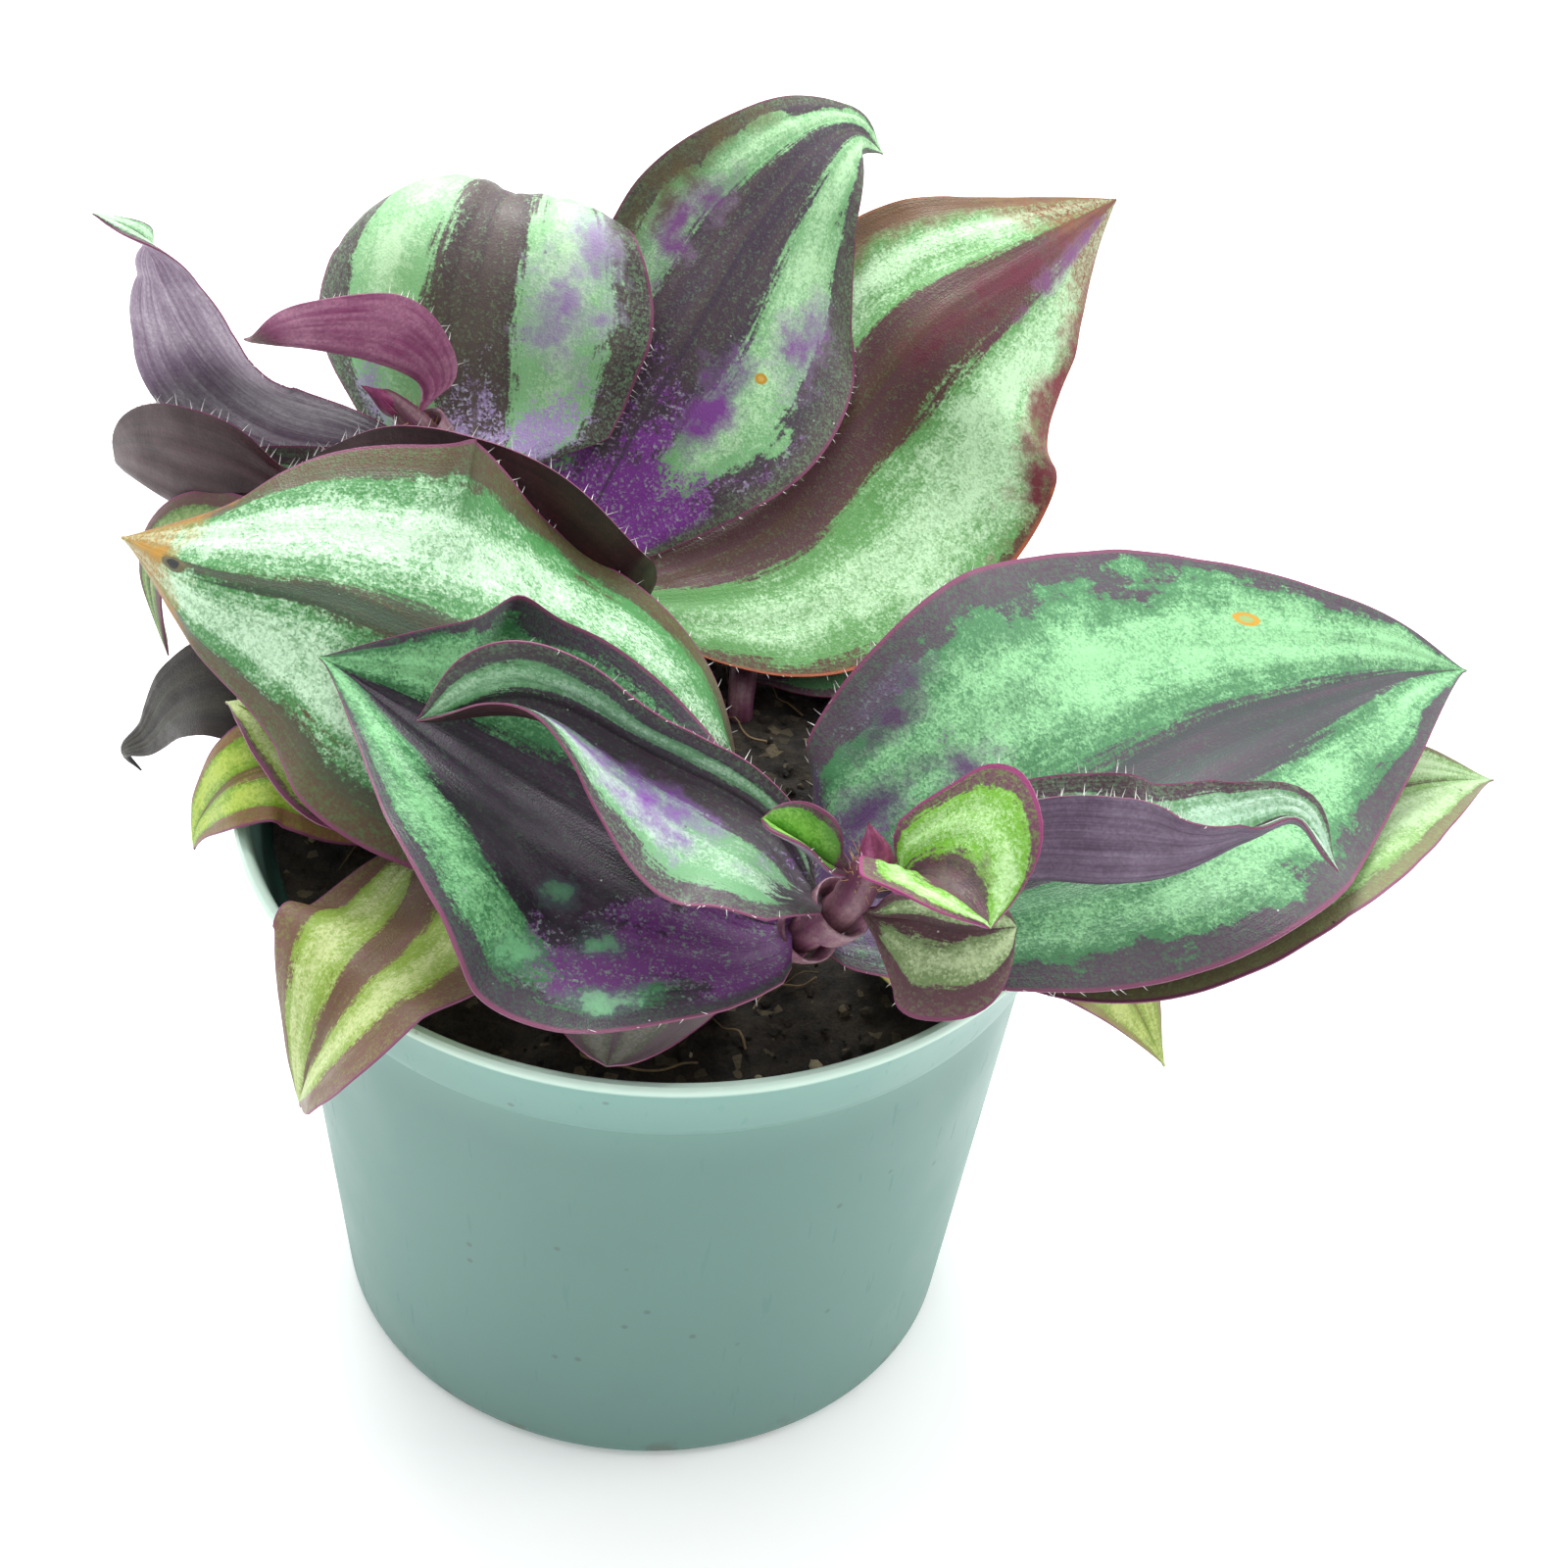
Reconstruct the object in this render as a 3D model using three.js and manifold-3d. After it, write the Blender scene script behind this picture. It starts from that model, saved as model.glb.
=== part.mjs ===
// Potted tradescantia: a small plastic pot of dark peat with leafy, trailing shoots.
// Millimetres, +Z up, +X to the right, +Y away from the front. The origin is the
// centre of the pot's flat foot.
import * as THREE from 'three';
import { mergeVertices } from 'three/addons/utils/BufferGeometryUtils.js';
import Module from 'manifold-3d';

const wasm = await Module();
wasm.setup();

// ---- driving dimensions -------------------------------------------------------
const POT_HEIGHT = 67.5;
const RIM_RADIUS = 45;
const FOOT_RADIUS = 34;
const BODY_TOP_RADIUS = 40.4;
const BAND_HEIGHT = 9.7;
const WALL = 1;
const FLOOR = 1.4;
const DRAIN_COUNT = 6;
const DRAIN_RADIUS = 2.5;
const DRAIN_CIRCLE = 25;
const LATHE_STEPS = 48;
const SOIL_TOP = 64.2;
const SOIL_EDGE = 41.6;
const SOIL_RINGS = [39.5, 34.5, 28, 20.5, 12.5, 5];
const SOIL_ROUGHNESS = 1.3;
const SOIL_STEPS = 32;
const GAP = 0.35;
const HOLE_BOTTOM = 55.5;
const STEM_BOTTOM = 56;
const BLADE = 0.8;
const BLADE_START = 0.45;
const TIP_HALF = 0.9;
const OUTLINE = [0.38, 0.14, 1.15];
const SLEEVE_LENGTH = 3.4;
const SLEEVE_WALL = 0.9;
const SLEEVE_SIDES = 10;
const SLEEVE_PLAY = 1.3 * GAP;

// ---- materials ----------------------------------------------------------------
const plastic = () => new THREE.MeshStandardMaterial({ color: 0x9dbab4, roughness: 0.42, metalness: 0 });
const peat = () => new THREE.MeshStandardMaterial({ color: 0x221d1a, roughness: 1, metalness: 0 });
const stemSkin = () => new THREE.MeshStandardMaterial({ color: 0x6a4a58, roughness: 0.6, metalness: 0 });
const leafSkin = () => new THREE.MeshStandardMaterial({ color: 0x7fae86, roughness: 0.45, metalness: 0 });

// ---- solids -------------------------------------------------------------------
// A closed geometry becomes a solid that can be joined and cut, and back again.
function solid(geometry, matrix) {
  const bare = geometry.clone();
  bare.deleteAttribute('normal');
  bare.deleteAttribute('uv');
  const merged = mergeVertices(bare, 1e-4);
  if (matrix) merged.applyMatrix4(matrix);
  return new wasm.Manifold(new wasm.Mesh({
    numProp: 3,
    vertProperties: Float32Array.from(merged.attributes.position.array),
    triVerts: Uint32Array.from(merged.index.array),
  }));
}

function toGeometry(manifold) {
  const mesh = manifold.getMesh();
  const geometry = new THREE.BufferGeometry();
  geometry.setAttribute('position', new THREE.BufferAttribute(Float32Array.from(mesh.vertProperties), 3));
  geometry.setIndex(new THREE.BufferAttribute(Uint32Array.from(mesh.triVerts), 1));
  geometry.computeVertexNormals();
  return geometry;
}

function named(name, manifold, material) {
  const mesh = new THREE.Mesh(toGeometry(manifold), material);
  mesh.name = name;
  return mesh;
}

// The same draw every time, for the uneven soil.
function seeded(seed) {
  let state = seed;
  return () => {
    state = (state * 1664525 + 1013904223) % 4294967296;
    return state / 4294967296;
  };
}

// ---- pot ----------------------------------------------------------------------
// One moulding: flat foot, slightly flared wall, a small step out to the rim band,
// and a rolled lip. Its drain holes lie round the middle of the floor.
function pot() {
  const bandFoot = POT_HEIGHT - BAND_HEIGHT;
  const profile = [
    [0, 0], [FOOT_RADIUS - 1, 0], [FOOT_RADIUS, 1], [BODY_TOP_RADIUS, bandFoot - 0.4],
    [BODY_TOP_RADIUS + 1.5, bandFoot], [RIM_RADIUS - 0.4, POT_HEIGHT - 1], [RIM_RADIUS, POT_HEIGHT - 0.5],
    [RIM_RADIUS - 0.3, POT_HEIGHT], [RIM_RADIUS - 1.2, POT_HEIGHT], [RIM_RADIUS - 1.6, POT_HEIGHT - 0.8],
    [BODY_TOP_RADIUS + 0.5, bandFoot + 0.7], [BODY_TOP_RADIUS - WALL, bandFoot - 0.6],
    [FOOT_RADIUS - WALL, FLOOR], [0, FLOOR],
  ].map(([r, z]) => new THREE.Vector2(r, z));
  let body = solid(lathe(profile, LATHE_STEPS));
  for (let i = 0; i < DRAIN_COUNT; i += 1) {
    const angle = (2 * Math.PI * (i + 0.5)) / DRAIN_COUNT;
    const drain = upright(DRAIN_RADIUS, 2 * FLOOR + 1.2, 10);
    const place = new THREE.Matrix4().makeTranslation(
      DRAIN_CIRCLE * Math.cos(angle), DRAIN_CIRCLE * Math.sin(angle), FLOOR / 2);
    body = body.subtract(solid(drain, place));
  }
  return named('pot', body, plastic());
}

// A profile of radius and height, turned about +Z.
function lathe(profile, segments) {
  const geometry = new THREE.LatheGeometry(profile, segments);
  geometry.rotateX(Math.PI / 2);
  return geometry;
}

// An upright cylinder about its own middle.
function upright(radius, height, sides) {
  const geometry = new THREE.CylinderGeometry(radius, radius, height, sides);
  geometry.rotateX(Math.PI / 2);
  return geometry;
}

// ---- soil ---------------------------------------------------------------------
// Peat down to the floor of the pot, with a crumbly top, lower along the wall.
function soil(stems) {
  const bandFoot = POT_HEIGHT - BAND_HEIGHT;
  const wallFoot = FOOT_RADIUS - WALL - GAP;
  const wallTop = BODY_TOP_RADIUS - WALL - GAP;
  const profile = [
    [0, FLOOR + GAP], [wallFoot, FLOOR + GAP], [wallTop, bandFoot - 0.4], [BODY_TOP_RADIUS, bandFoot + 1],
    [SOIL_EDGE, SOIL_TOP - 0.9], ...SOIL_RINGS.map((r) => [r, SOIL_TOP]), [0, SOIL_TOP + 0.3],
  ].map(([r, z]) => new THREE.Vector2(r, z));
  const geometry = lathe(profile, SOIL_STEPS);
  const merged = mergeVertices(strip(geometry), 1e-4);
  const random = seeded(7);
  const at = merged.attributes.position;
  for (let i = 0; i < at.count; i += 1) {
    if (at.getZ(i) > SOIL_TOP - 1) at.setZ(i, at.getZ(i) + (random() - 0.5) * SOIL_ROUGHNESS);
  }
  let body = solid(merged);
  for (const stem of stems) {
    const [x, y] = stem.points[0];
    const hole = upright(stem.radius + 1.5 * GAP, 20, 12);
    body = body.subtract(solid(hole, new THREE.Matrix4().makeTranslation(x, y, HOLE_BOTTOM + 10)));
  }
  return named('soil', body, peat());
}

function strip(geometry) {
  geometry.deleteAttribute('normal');
  geometry.deleteAttribute('uv');
  return geometry;
}

// ---- stems --------------------------------------------------------------------
// Each shoot's stem: upright in its hole in the soil, then leaning the way it grew.
const STEMS = {
  stem_front: {
    radius: 1.9, bud: [1.2, 1, 1.4],
    points: [[10, -6, STEM_BOTTOM], [10, -6, 61], [10, -6.5, 66], [10.6, -12, 70], [12, -20, 72.3], [12.6, -28, 74.5],
      [15, -34, 79], [19, -36.5, 85.5], [21.3, -37.2, 92]],
  },
  stem_rear: {
    radius: 1.9, bud: [1.3, 1.2, 4],
    points: [[-4, 18, STEM_BOTTOM], [-4, 18, 60], [-4, 18, 65.3], [-9, 20, 70], [-16, 22, 79],
      [-24, 24, 87], [-30, 24, 95]],
  },
  stem_left: {
    radius: 1.5, bud: [1, 0.9, 1.6],
    points: [[-16, -10, STEM_BOTTOM], [-16, -10, 60], [-16, -10, 65.3], [-17.6, -11.2, 67.4], [-20, -13, 69],
      [-24, -15, 74], [-26, -16, 78]],
  },
  stem_right: {
    radius: 1.5, bud: [1, 0.9, 2.4],
    points: [[20, -10, STEM_BOTTOM], [20, -10, 61], [20, -10, 65.5], [22, -13, 70], [23.5, -15, 75]],
  },
  stem_far: {
    radius: 1.5, bud: [1, 0.9, 3],
    points: [[7, 17, STEM_BOTTOM], [7, 17, 61], [7, 17.2, 65.3], [7, 23, 68.2], [6, 30, 70], [5, 35, 71.5]],
  },
};

const vector = ([x, y, z]) => new THREE.Vector3(x, y, z);
const curve = (points) => new THREE.CatmullRomCurve3(points.map(vector), false, 'catmullrom', 0.5);

function disc(radius, sides) {
  const points = [];
  for (let i = 0; i < sides; i += 1) {
    const angle = (2 * Math.PI * i) / sides;
    points.push(new THREE.Vector2(radius * Math.cos(angle), radius * Math.sin(angle)));
  }
  return new THREE.Shape(points);
}

function stem(name) {
  const { points, radius, bud } = STEMS[name];
  const path = curve(points);
  const tube = new THREE.ExtrudeGeometry(disc(radius, 8), {
    steps: points.length + 6, extrudePath: path, bevelEnabled: false,
  });
  const tip = vector(points[points.length - 1]);
  const aim = path.getTangent(1);
  const turn = new THREE.Quaternion().setFromUnitVectors(new THREE.Vector3(0, 0, 1), aim);
  const tipSolid = new THREE.SphereGeometry(1, 8, 6).scale(...bud);
  const place = new THREE.Matrix4().compose(tip, turn, new THREE.Vector3(1, 1, 1));
  return named(name, solid(tube).add(solid(tipSolid, place)), stemSkin());
}

// ---- leaves -------------------------------------------------------------------
// Every leaf is a thin blade swept along its midrib. `rib` is the midrib after the
// point where it leaves the stem at height `at`, `face` the way its upper side
// looks, `left` and `right` how far each half lifts from flat, in degrees, from base
// to tip. An outline is [widest point, width at the base, sharpness of the tip], a
// share widens or narrows one half, a bend curls it by so many degrees more towards its
// margin, and a wave is [side, place, span, height].
const LEAVES = [
  {
    name: 'leaf_a_right', stem: 'stem_front', at: 75.3, sheath: true, width: 49,
    rib: [[21.5, -28.5, 80], [31.5, -24, 84], [42, -17, 86], [56, -5, 86], [72, 6, 84], [83, 13.5, 80]],
    face: [[0.2, -0.3, 1], [0.1, -0.6, 1], [0.1, -0.6, 1], [0.3, -0.5, 1]],
    left: [15, 12, -3, -5, 25], right: [10, 12, 20, 10, 35],
    leftOutline: [0.42, 0.45, 1.15], rightOutline: [0.45, 0.12, 1.15],
  },
  {
    name: 'leaf_a_left_wide', stem: 'stem_front', at: 79.5, sheath: true, width: 47,
    rib: [[10, -35, 81.5], [2.5, -32.5, 84.5], [-6, -28, 86.5], [-19.5, -22, 90], [-33.5, -16, 94]],
    face: [[0, -0.5, 1], [0, -0.6, 1], [-0.2, -0.5, 1]],
    left: [30, 14, 36, 34, 20], right: [10, 0, 10, 30, 30],
    leftOutline: [0.36, 0.4, 1.3], rightOutline: [0.55, 0.3, 1], rightShare: 0.66,
    waves: [[1, 0.7, 0.05, 6]], perSide: 3, rows: 20, sleeve: 2.8,
  },
  {
    name: 'leaf_a_left_narrow', stem: 'stem_front', at: 83.6, sheath: true, width: 34,
    rib: [[10.5, -31.5, 91], [-1, -28, 94.5], [-12, -25.5, 97.5], [-23, -24.5, 94]],
    face: [[0, -0.3, 1], [0, -0.5, 1], [0, -0.7, 1]],
    left: [60, 20, 45, 75, 80], right: [20, 60, 75, 60, 60],
    leftOutline: [0.38, 0.8, 1.15], rightOutline: [0.75, 0.05, 1], leftShare: 0.9, rightShare: 0.45,
    folded: true,
  },
  {
    name: 'leaf_a_left_old', stem: 'stem_front', at: 68.6, sheath: true, width: 47,
    rib: [[-4, -7, 85], [-22.5, -12.5, 95], [-34, -11, 98], [-46, -8, 97.5], [-56, 2, 93]],
    face: [[0, -0.4, 1], [0, -0.6, 1], [-0.3, -0.5, 1]],
    left: [0, -20, -18, -40, -60], right: [-40, -38, -14, -8, 5],
    waves: [[1, 0.42, 0.14, 4.5], [1, 0.6, 0.1, 1.5]], perSide: 3, rows: 16,
  },
  {
    name: 'leaf_a_folded', stem: 'stem_front', at: 87.2, width: 21,
    rib: [[35, -33.5, 88], [43.5, -33, 88], [50, -31.5, 88.5], [56, -29, 91], [61, -28, 93], [65.3, -31, 89.5]],
    face: [[0, 0.6, 1], [0, 0.6, 1], [0.3, -0.5, 1]],
    left: [75, 80, 85, 45, 25], right: [75, 70, 70, 55, 40],
    leftOutline: [0.45, 0.14, 1.3], rightOutline: [0.45, 0.14, 1], rightShare: 0.9,
    folded: true,
  },
  {
    name: 'leaf_a_cup', stem: 'stem_front', at: 90.8, width: 25,
    rib: [[25.8, -38.2, 91.3], [27.3, -40.5, 93], [29.5, -44, 94.3], [32, -47.5, 93.8]],
    face: [[0, -0.3, 1], [0, -0.3, 1], [0.2, -0.3, 1]],
    left: [35, 50, 45, 40, 25], right: [30, 45, 35, 30, 20],
    leftOutline: [0.55, 0.1, 0.8], rightOutline: [0.5, 0.05, 1.15], rightShare: 0.75,
    folded: true, start: 1.1,
  },
  {
    name: 'leaf_a_front', stem: 'stem_front', at: 86, width: 18,
    rib: [[25, -38.5, 86], [30, -40.5, 87], [35, -39.5, 87]],
    face: [[0.1, -0.7, 0.8], [0.1, -0.7, 0.8], [0.1, -0.7, 0.8]],
    left: [40, 40, 30], right: [0, 0, 0, 0, 0],
    outline: [0.5, 0.14, 0.55], leftShare: 0.5,
  },
  {
    name: 'leaf_a_curl', stem: 'stem_front', at: 89, width: 9,
    rib: [[16, -36.5, 91], [13, -36, 93], [10.5, -35.5, 94.5]],
    face: [[0, -0.3, 1], [0, -0.3, 1], [0.2, -0.3, 1]],
    left: [40, 60, 40], right: [40, 60, 40],
    outline: [0.5, 0.3, 0.5],
  },
  {
    name: 'leaf_b_arch', stem: 'stem_rear', at: 87, sheath: true, width: 40,
    rib: [
      [-23.5, 30.2, 92], [-23.8, 33.5, 99], [-23, 37.5, 105.5],
      [-22, 43, 108.7], [-21, 48.5, 107.5], [-20.5, 52.5, 100],
    ],
    face: [[0, -0.85, 0.5], [0, -0.85, 0.5], [0, -0.75, 0.65], [0, 0.2, 1], [0, 0.9, 0.4]],
    left: [0, 5, 20, 35, 30], right: [-5, 5, 5, 10, 0],
    leftBend: [-30, -50, -80, -80, -60], rightBend: [-20, -20, -30, -50],
    leftOutline: [0.38, 0.3, 0.8], rightOutline: [0.4, 0.7, 0.75], rightShare: 0.93,
    rows: 18, perSide: 4,
  },
  {
    name: 'leaf_b_tall', stem: 'stem_rear', at: 77, sheath: true, width: 39,
    rib: [
      [-11, 28.5, 80], [-6.5, 33, 89], [-1.5, 37.5, 97.5], [4, 44.5, 106],
      [10, 52.5, 112], [14.5, 59.5, 112], [18, 62, 108],
    ],
    face: [[0.2, -1, 0.5], [0.2, -1, 0.5], [0.2, -1, 0.6], [0.3, -0.6, 1]],
    left: [0, -20, -40, 5, 0], right: [15, 10, -12, -28, 10],
    outline: [0.45, 0.14, 1.15], leftShare: 0.8,
  },
  {
    name: 'leaf_b_far', stem: 'stem_rear', at: 73.3, sheath: true, width: 46,
    rib: [[7, 31, 78], [16.5, 39.5, 86], [25, 45, 96.5], [35, 53.5, 100.5], [44.5, 66, 102]],
    face: [[0, -0.6, 1], [0, -0.8, 1], [0, -1, 0.8]],
    left: [0, -20, -35, -15, -10], right: [5, 0, -12, -26, -45],
    leftOutline: [0.38, 0.25, 1], rightOutline: [0.42, 0.1, 1],
    sleeve: 3,
  },
  {
    name: 'leaf_b_cupped', stem: 'stem_rear', at: 68.5, sheath: true, width: 38,
    rib: [
      [-13, 14.5, 74], [-20, 14.8, 78.5], [-30, 15.5, 81.5],
      [-41, 17.5, 82], [-52, 20, 84], [-62, 28.5, 83],
    ],
    face: [[0, 0, 1], [0, 0, 1], [0, 0, 1], [0, -0.2, 1]],
    left: [88, 93, 94, 97, 95], right: [84, 80, 72, 65, 60],
    leftOutline: [0.32, 0.42, 0.5], rightOutline: [0.5, 0.05, 1.15], leftShare: 1.1, rightShare: 0.62,
    waves: [[-1, 0.64, 0.09, -7.5], [-1, 0.52, 0.07, -3]], folded: true, rows: 20, sleeve: 2.6,
  },
  {
    name: 'leaf_b_back', stem: 'stem_rear', at: 92, sheath: true, width: 23,
    rib: [
      [-36.5, 24.8, 92.2], [-43.5, 25.5, 93.5], [-49, 25.8, 97.5], [-52.5, 26, 102.5],
      [-54.8, 26, 107.9], [-57, 26.5, 112.6], [-62.5, 28, 114.4],
    ],
    face: [[0.2, 0.9, 0.4], [0.2, 0.9, 0.4], [0.2, 0.9, 0.4], [0, -0.2, 1]],
    left: [0, -10, -20, -5, 10], right: [-15, -15, -10, 20, 0],
    leftShare: 0.75, rightShare: 0.92,
  },
  {
    name: 'leaf_b_small', stem: 'stem_rear', at: 94.5, width: 16,
    rib: [[-29, 25.5, 99], [-33.5, 24, 102], [-39.5, 22.5, 104], [-47, 25.5, 102]],
    face: [[0, 0.5, 0.8], [0, 0.5, 0.8], [0, 0, 1]],
    left: [60, 60, 50], right: [45, 45, 40],
    folded: true, perSide: 1,
  },
  {
    name: 'leaf_c_hanging', stem: 'stem_left', at: 72, sheath: true, width: 25,
    rib: [[-23, -30, 73], [-27.5, -38, 72.5], [-31, -40.5, 65], [-33, -38.5, 55]],
    face: [[0, -0.5, 1], [-0.4, -0.8, 0.8], [-0.6, -0.9, 0.4]],
    left: [-15, -10, 25, 45, 50], right: [20, 5, -15, -15, -5],
    outline: [0.45, 0.08, 1.15],
  },
  {
    name: 'leaf_c_low', stem: 'stem_left', at: 68.2, width: 13,
    rib: [[-29, -8.5, 69.6], [-38, -8, 72.3], [-43.5, -9, 71.3], [-47.5, -7, 64.5], [-49, -5, 58]],
    face: [[0, -0.5, 1], [-0.3, -0.6, 1], [-0.7, -0.7, 0.6]],
    left: [20, 5, 5], right: [20, 5, 5],
  },
  {
    name: 'leaf_c_slender', stem: 'stem_left', at: 76, width: 8,
    rib: [[-31.5, -18.5, 77.5], [-37, -14.5, 80.5], [-41, -11, 82], [-44.5, -7, 80]],
    face: [[-0.2, -0.5, 1], [-0.2, -0.5, 1], [-0.2, -0.5, 1]],
    left: [40, 30, 10], right: [40, 30, 10],
    start: 0.6,
  },
  {
    name: 'leaf_c_dark', stem: 'stem_left', at: 66.3, width: 13,
    rib: [
      [-34, -4, 71], [-39, 2.5, 72.5], [-46.5, 3.5, 73.5], [-52, 5.5, 69.5],
      [-56, 8, 62], [-59, 10, 58], [-57.5, 10.5, 55],
    ],
    face: [[-0.2, -0.3, 1], [-0.5, -0.6, 0.8], [-0.8, -0.7, 0.3]],
    left: [15, 5, 5], right: [15, 5, 5],
  },
  {
    name: 'leaf_c_tip', stem: 'stem_left', at: 75, width: 16,
    rib: [
      [-31, -6, 78.5], [-40, 5, 82.5], [-48, 12, 84.5],
      [-53.5, 14.5, 83.5], [-56, 15, 78], [-54.5, 14, 68.5],
    ],
    face: [[0, -0.3, 1], [0, -0.3, 1], [-0.5, -0.4, 0.8], [-0.9, -0.45, 0.2]],
    left: [15, 5, 5], right: [15, 5, 5],
  },
  {
    name: 'leaf_d_under', stem: 'stem_right', at: 72.5, sheath: true, width: 36,
    rib: [[44, -18.5, 76.9], [61, -11, 78.2], [76, -2, 76.5], [86.5, 5.5, 72]],
    face: [[0, -0.5, 1], [0, -0.6, 1], [0.2, -0.5, 1]],
    left: [0, -5, 0, 10, 30], right: [15, 20, 30, 35, 40],
    leftShare: 0.7,
  },
  {
    name: 'leaf_d_drooping', stem: 'stem_right', at: 67.3, width: 13,
    rib: [[33, -19, 71], [39, -22.5, 72], [44, -24, 70.5], [48.5, -23, 64], [53.5, -21.5, 53]],
    face: [[0, -0.3, 1], [0.3, -0.7, 0.8], [0.5, -0.9, 0.3]],
    left: [-10, 0, 5], right: [-10, 0, 5],
  },
  {
    name: 'leaf_d_short', stem: 'stem_right', at: 69, width: 8,
    rib: [[26, -27.5, 70], [27.5, -31.5, 70.5], [28.5, -34, 69.5]],
    face: [[0, -0.3, 1], [0, -0.7, 1], [0, -0.7, 1]],
    left: [10, 5, 5], right: [10, 5, 5],
    outline: [0.38, 0.14, 0.7],
  },
  {
    name: 'leaf_d_front', stem: 'stem_front', at: 71.2, width: 18,
    rib: [[2.5, -22, 68.4], [-1, -33, 69.5], [-2.5, -44.5, 69.7]],
    face: [[0, -0.6, 1], [0, -0.6, 1], [0, -0.6, 1]],
    left: [10, 5, 5], right: [10, 5, 5],
    outline: [0.6, 0.2, 0.6],
  },
  {
    name: 'leaf_e_right', stem: 'stem_far', at: 66.8, width: 12,
    rib: [[16, 21.5, 67.5], [26, 25.5, 69], [35, 31, 71.3], [45, 39, 71]],
    face: [[0, -0.3, 1], [0, -0.4, 1], [0, -0.4, 1]],
    left: [0, 0, 0], right: [10, 5, 5],
  },
  {
    name: 'leaf_f_back', stem: 'stem_far', at: 70.9, sheath: true, width: 26,
    rib: [[-1, 45, 75.6], [-5, 55, 74], [-8, 64, 66]],
    face: [[0, -0.2, 1], [0, 0.1, 1], [0, 0.7, 1]],
    left: [20, 8, 0], right: [20, 8, 0],
  },
  {
    name: 'leaf_f_back_right', stem: 'stem_far', at: 68.8, width: 18,
    rib: [[13, 30, 72], [21, 42, 73.5], [29, 53, 70.5], [34, 62, 61]],
    face: [[0, -0.2, 1], [0.1, 0.2, 1], [0.5, 0.6, 1]],
    left: [20, 8, 0], right: [20, 8, 0],
    leftOutline: [0.38, 0.05, 1.15],
  },
  {
    name: 'leaf_f_back_left', stem: 'stem_rear', at: 82, width: 22,
    rib: [[-28, 33, 81], [-40, 42, 75], [-47, 50, 64]],
    face: [[0, -0.2, 1], [-0.1, 0.2, 1], [-0.4, 0.6, 1]],
    left: [20, 8, 0], right: [20, 8, 0],
  },
];

// Half the width of a blade at v, from 0 at the base to 1 at the tip.
function halfWidth(v, [widest, base, tip], full) {
  const rise = base + (1 - base) * Math.sin((Math.PI / 2) * Math.min(v / widest, 1)) ** 0.9;
  const fall = Math.cos((Math.PI / 2) * Math.max((v - widest) / (1 - widest), 0)) ** tip;
  return Math.max((full / 2) * (v < widest ? rise : fall), TIP_HALF);
}

// Where the leaf leaves its stem: a point on the stem's axis, the axis's direction
// there, and the direction in which the leaf sets off.
function node(leaf) {
  const path = curve(STEMS[leaf.stem].points);
  let t = 0;
  while (t < 1 && path.getPoint(t).z < leaf.at) t += 0.002;
  const centre = path.getPoint(Math.min(t, 1));
  const axis = path.getTangent(Math.min(t, 1));
  const away = vector(leaf.rib[0]).sub(centre);
  away.addScaledVector(axis, -away.dot(axis)).normalize();
  return { centre, axis, away };
}

// The blade's middle sheet: rows along the midrib, each from the left margin to the
// right one.
function sheet(leaf, rows, perSide) {
  const { centre, away } = node(leaf);
  const radius = STEMS[leaf.stem].radius;
  const lead = leaf.start ?? (leaf.sheath ? 0.5 : BLADE_START);
  const start = centre.clone().addScaledVector(away, radius + GAP + lead);
  const rib = curve([start.toArray(), ...leaf.rib]);
  const face = curve(leaf.face);
  const along = (angles) => curve(angles.map((angle) => [angle, 0, 0]));
  const grid = [];
  for (let i = 0; i <= rows; i += 1) {
    const v = i / rows;
    const middle = rib.getPointAt(v);
    const tangent = rib.getTangentAt(v);
    const up = face.getPoint(v);
    up.addScaledVector(tangent, -up.dot(tangent)).normalize();
    const across = new THREE.Vector3().crossVectors(tangent, up);
    const row = [];
    for (const [side, name] of [[-1, 'left'], [1, 'right']]) {
      const share = leaf[`${name}Share`] ?? 1;
      const shape = leaf[`${name}Outline`] ?? leaf.outline ?? OUTLINE;
      const step = halfWidth(v, shape, leaf.width * share) / perSide;
      const base = along(leaf[name]).getPoint(v).x;
      const bend = along(leaf[`${name}Bend`] ?? [0, 0]).getPoint(v).x;
      const point = middle.clone();
      const points = [];
      for (let j = 1; j <= perSide; j += 1) {
        const angle = THREE.MathUtils.degToRad(base + bend * ((j - 0.5) / perSide));
        point.addScaledVector(across, side * step * Math.cos(angle)).addScaledVector(up, step * Math.sin(angle));
        const waved = point.clone();
        for (const [waveSide, at, span, height] of leaf.waves ?? []) {
          if (waveSide !== side) continue;
          waved.addScaledVector(up, height * Math.exp(-(((v - at) / span) ** 2)) * (j / perSide) ** 2);
        }
        points.push(waved);
      }
      if (side < 0) row.push(...points.reverse(), middle.clone());
      else row.push(...points);
    }
    grid.push(row);
  }
  return grid;
}

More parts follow.
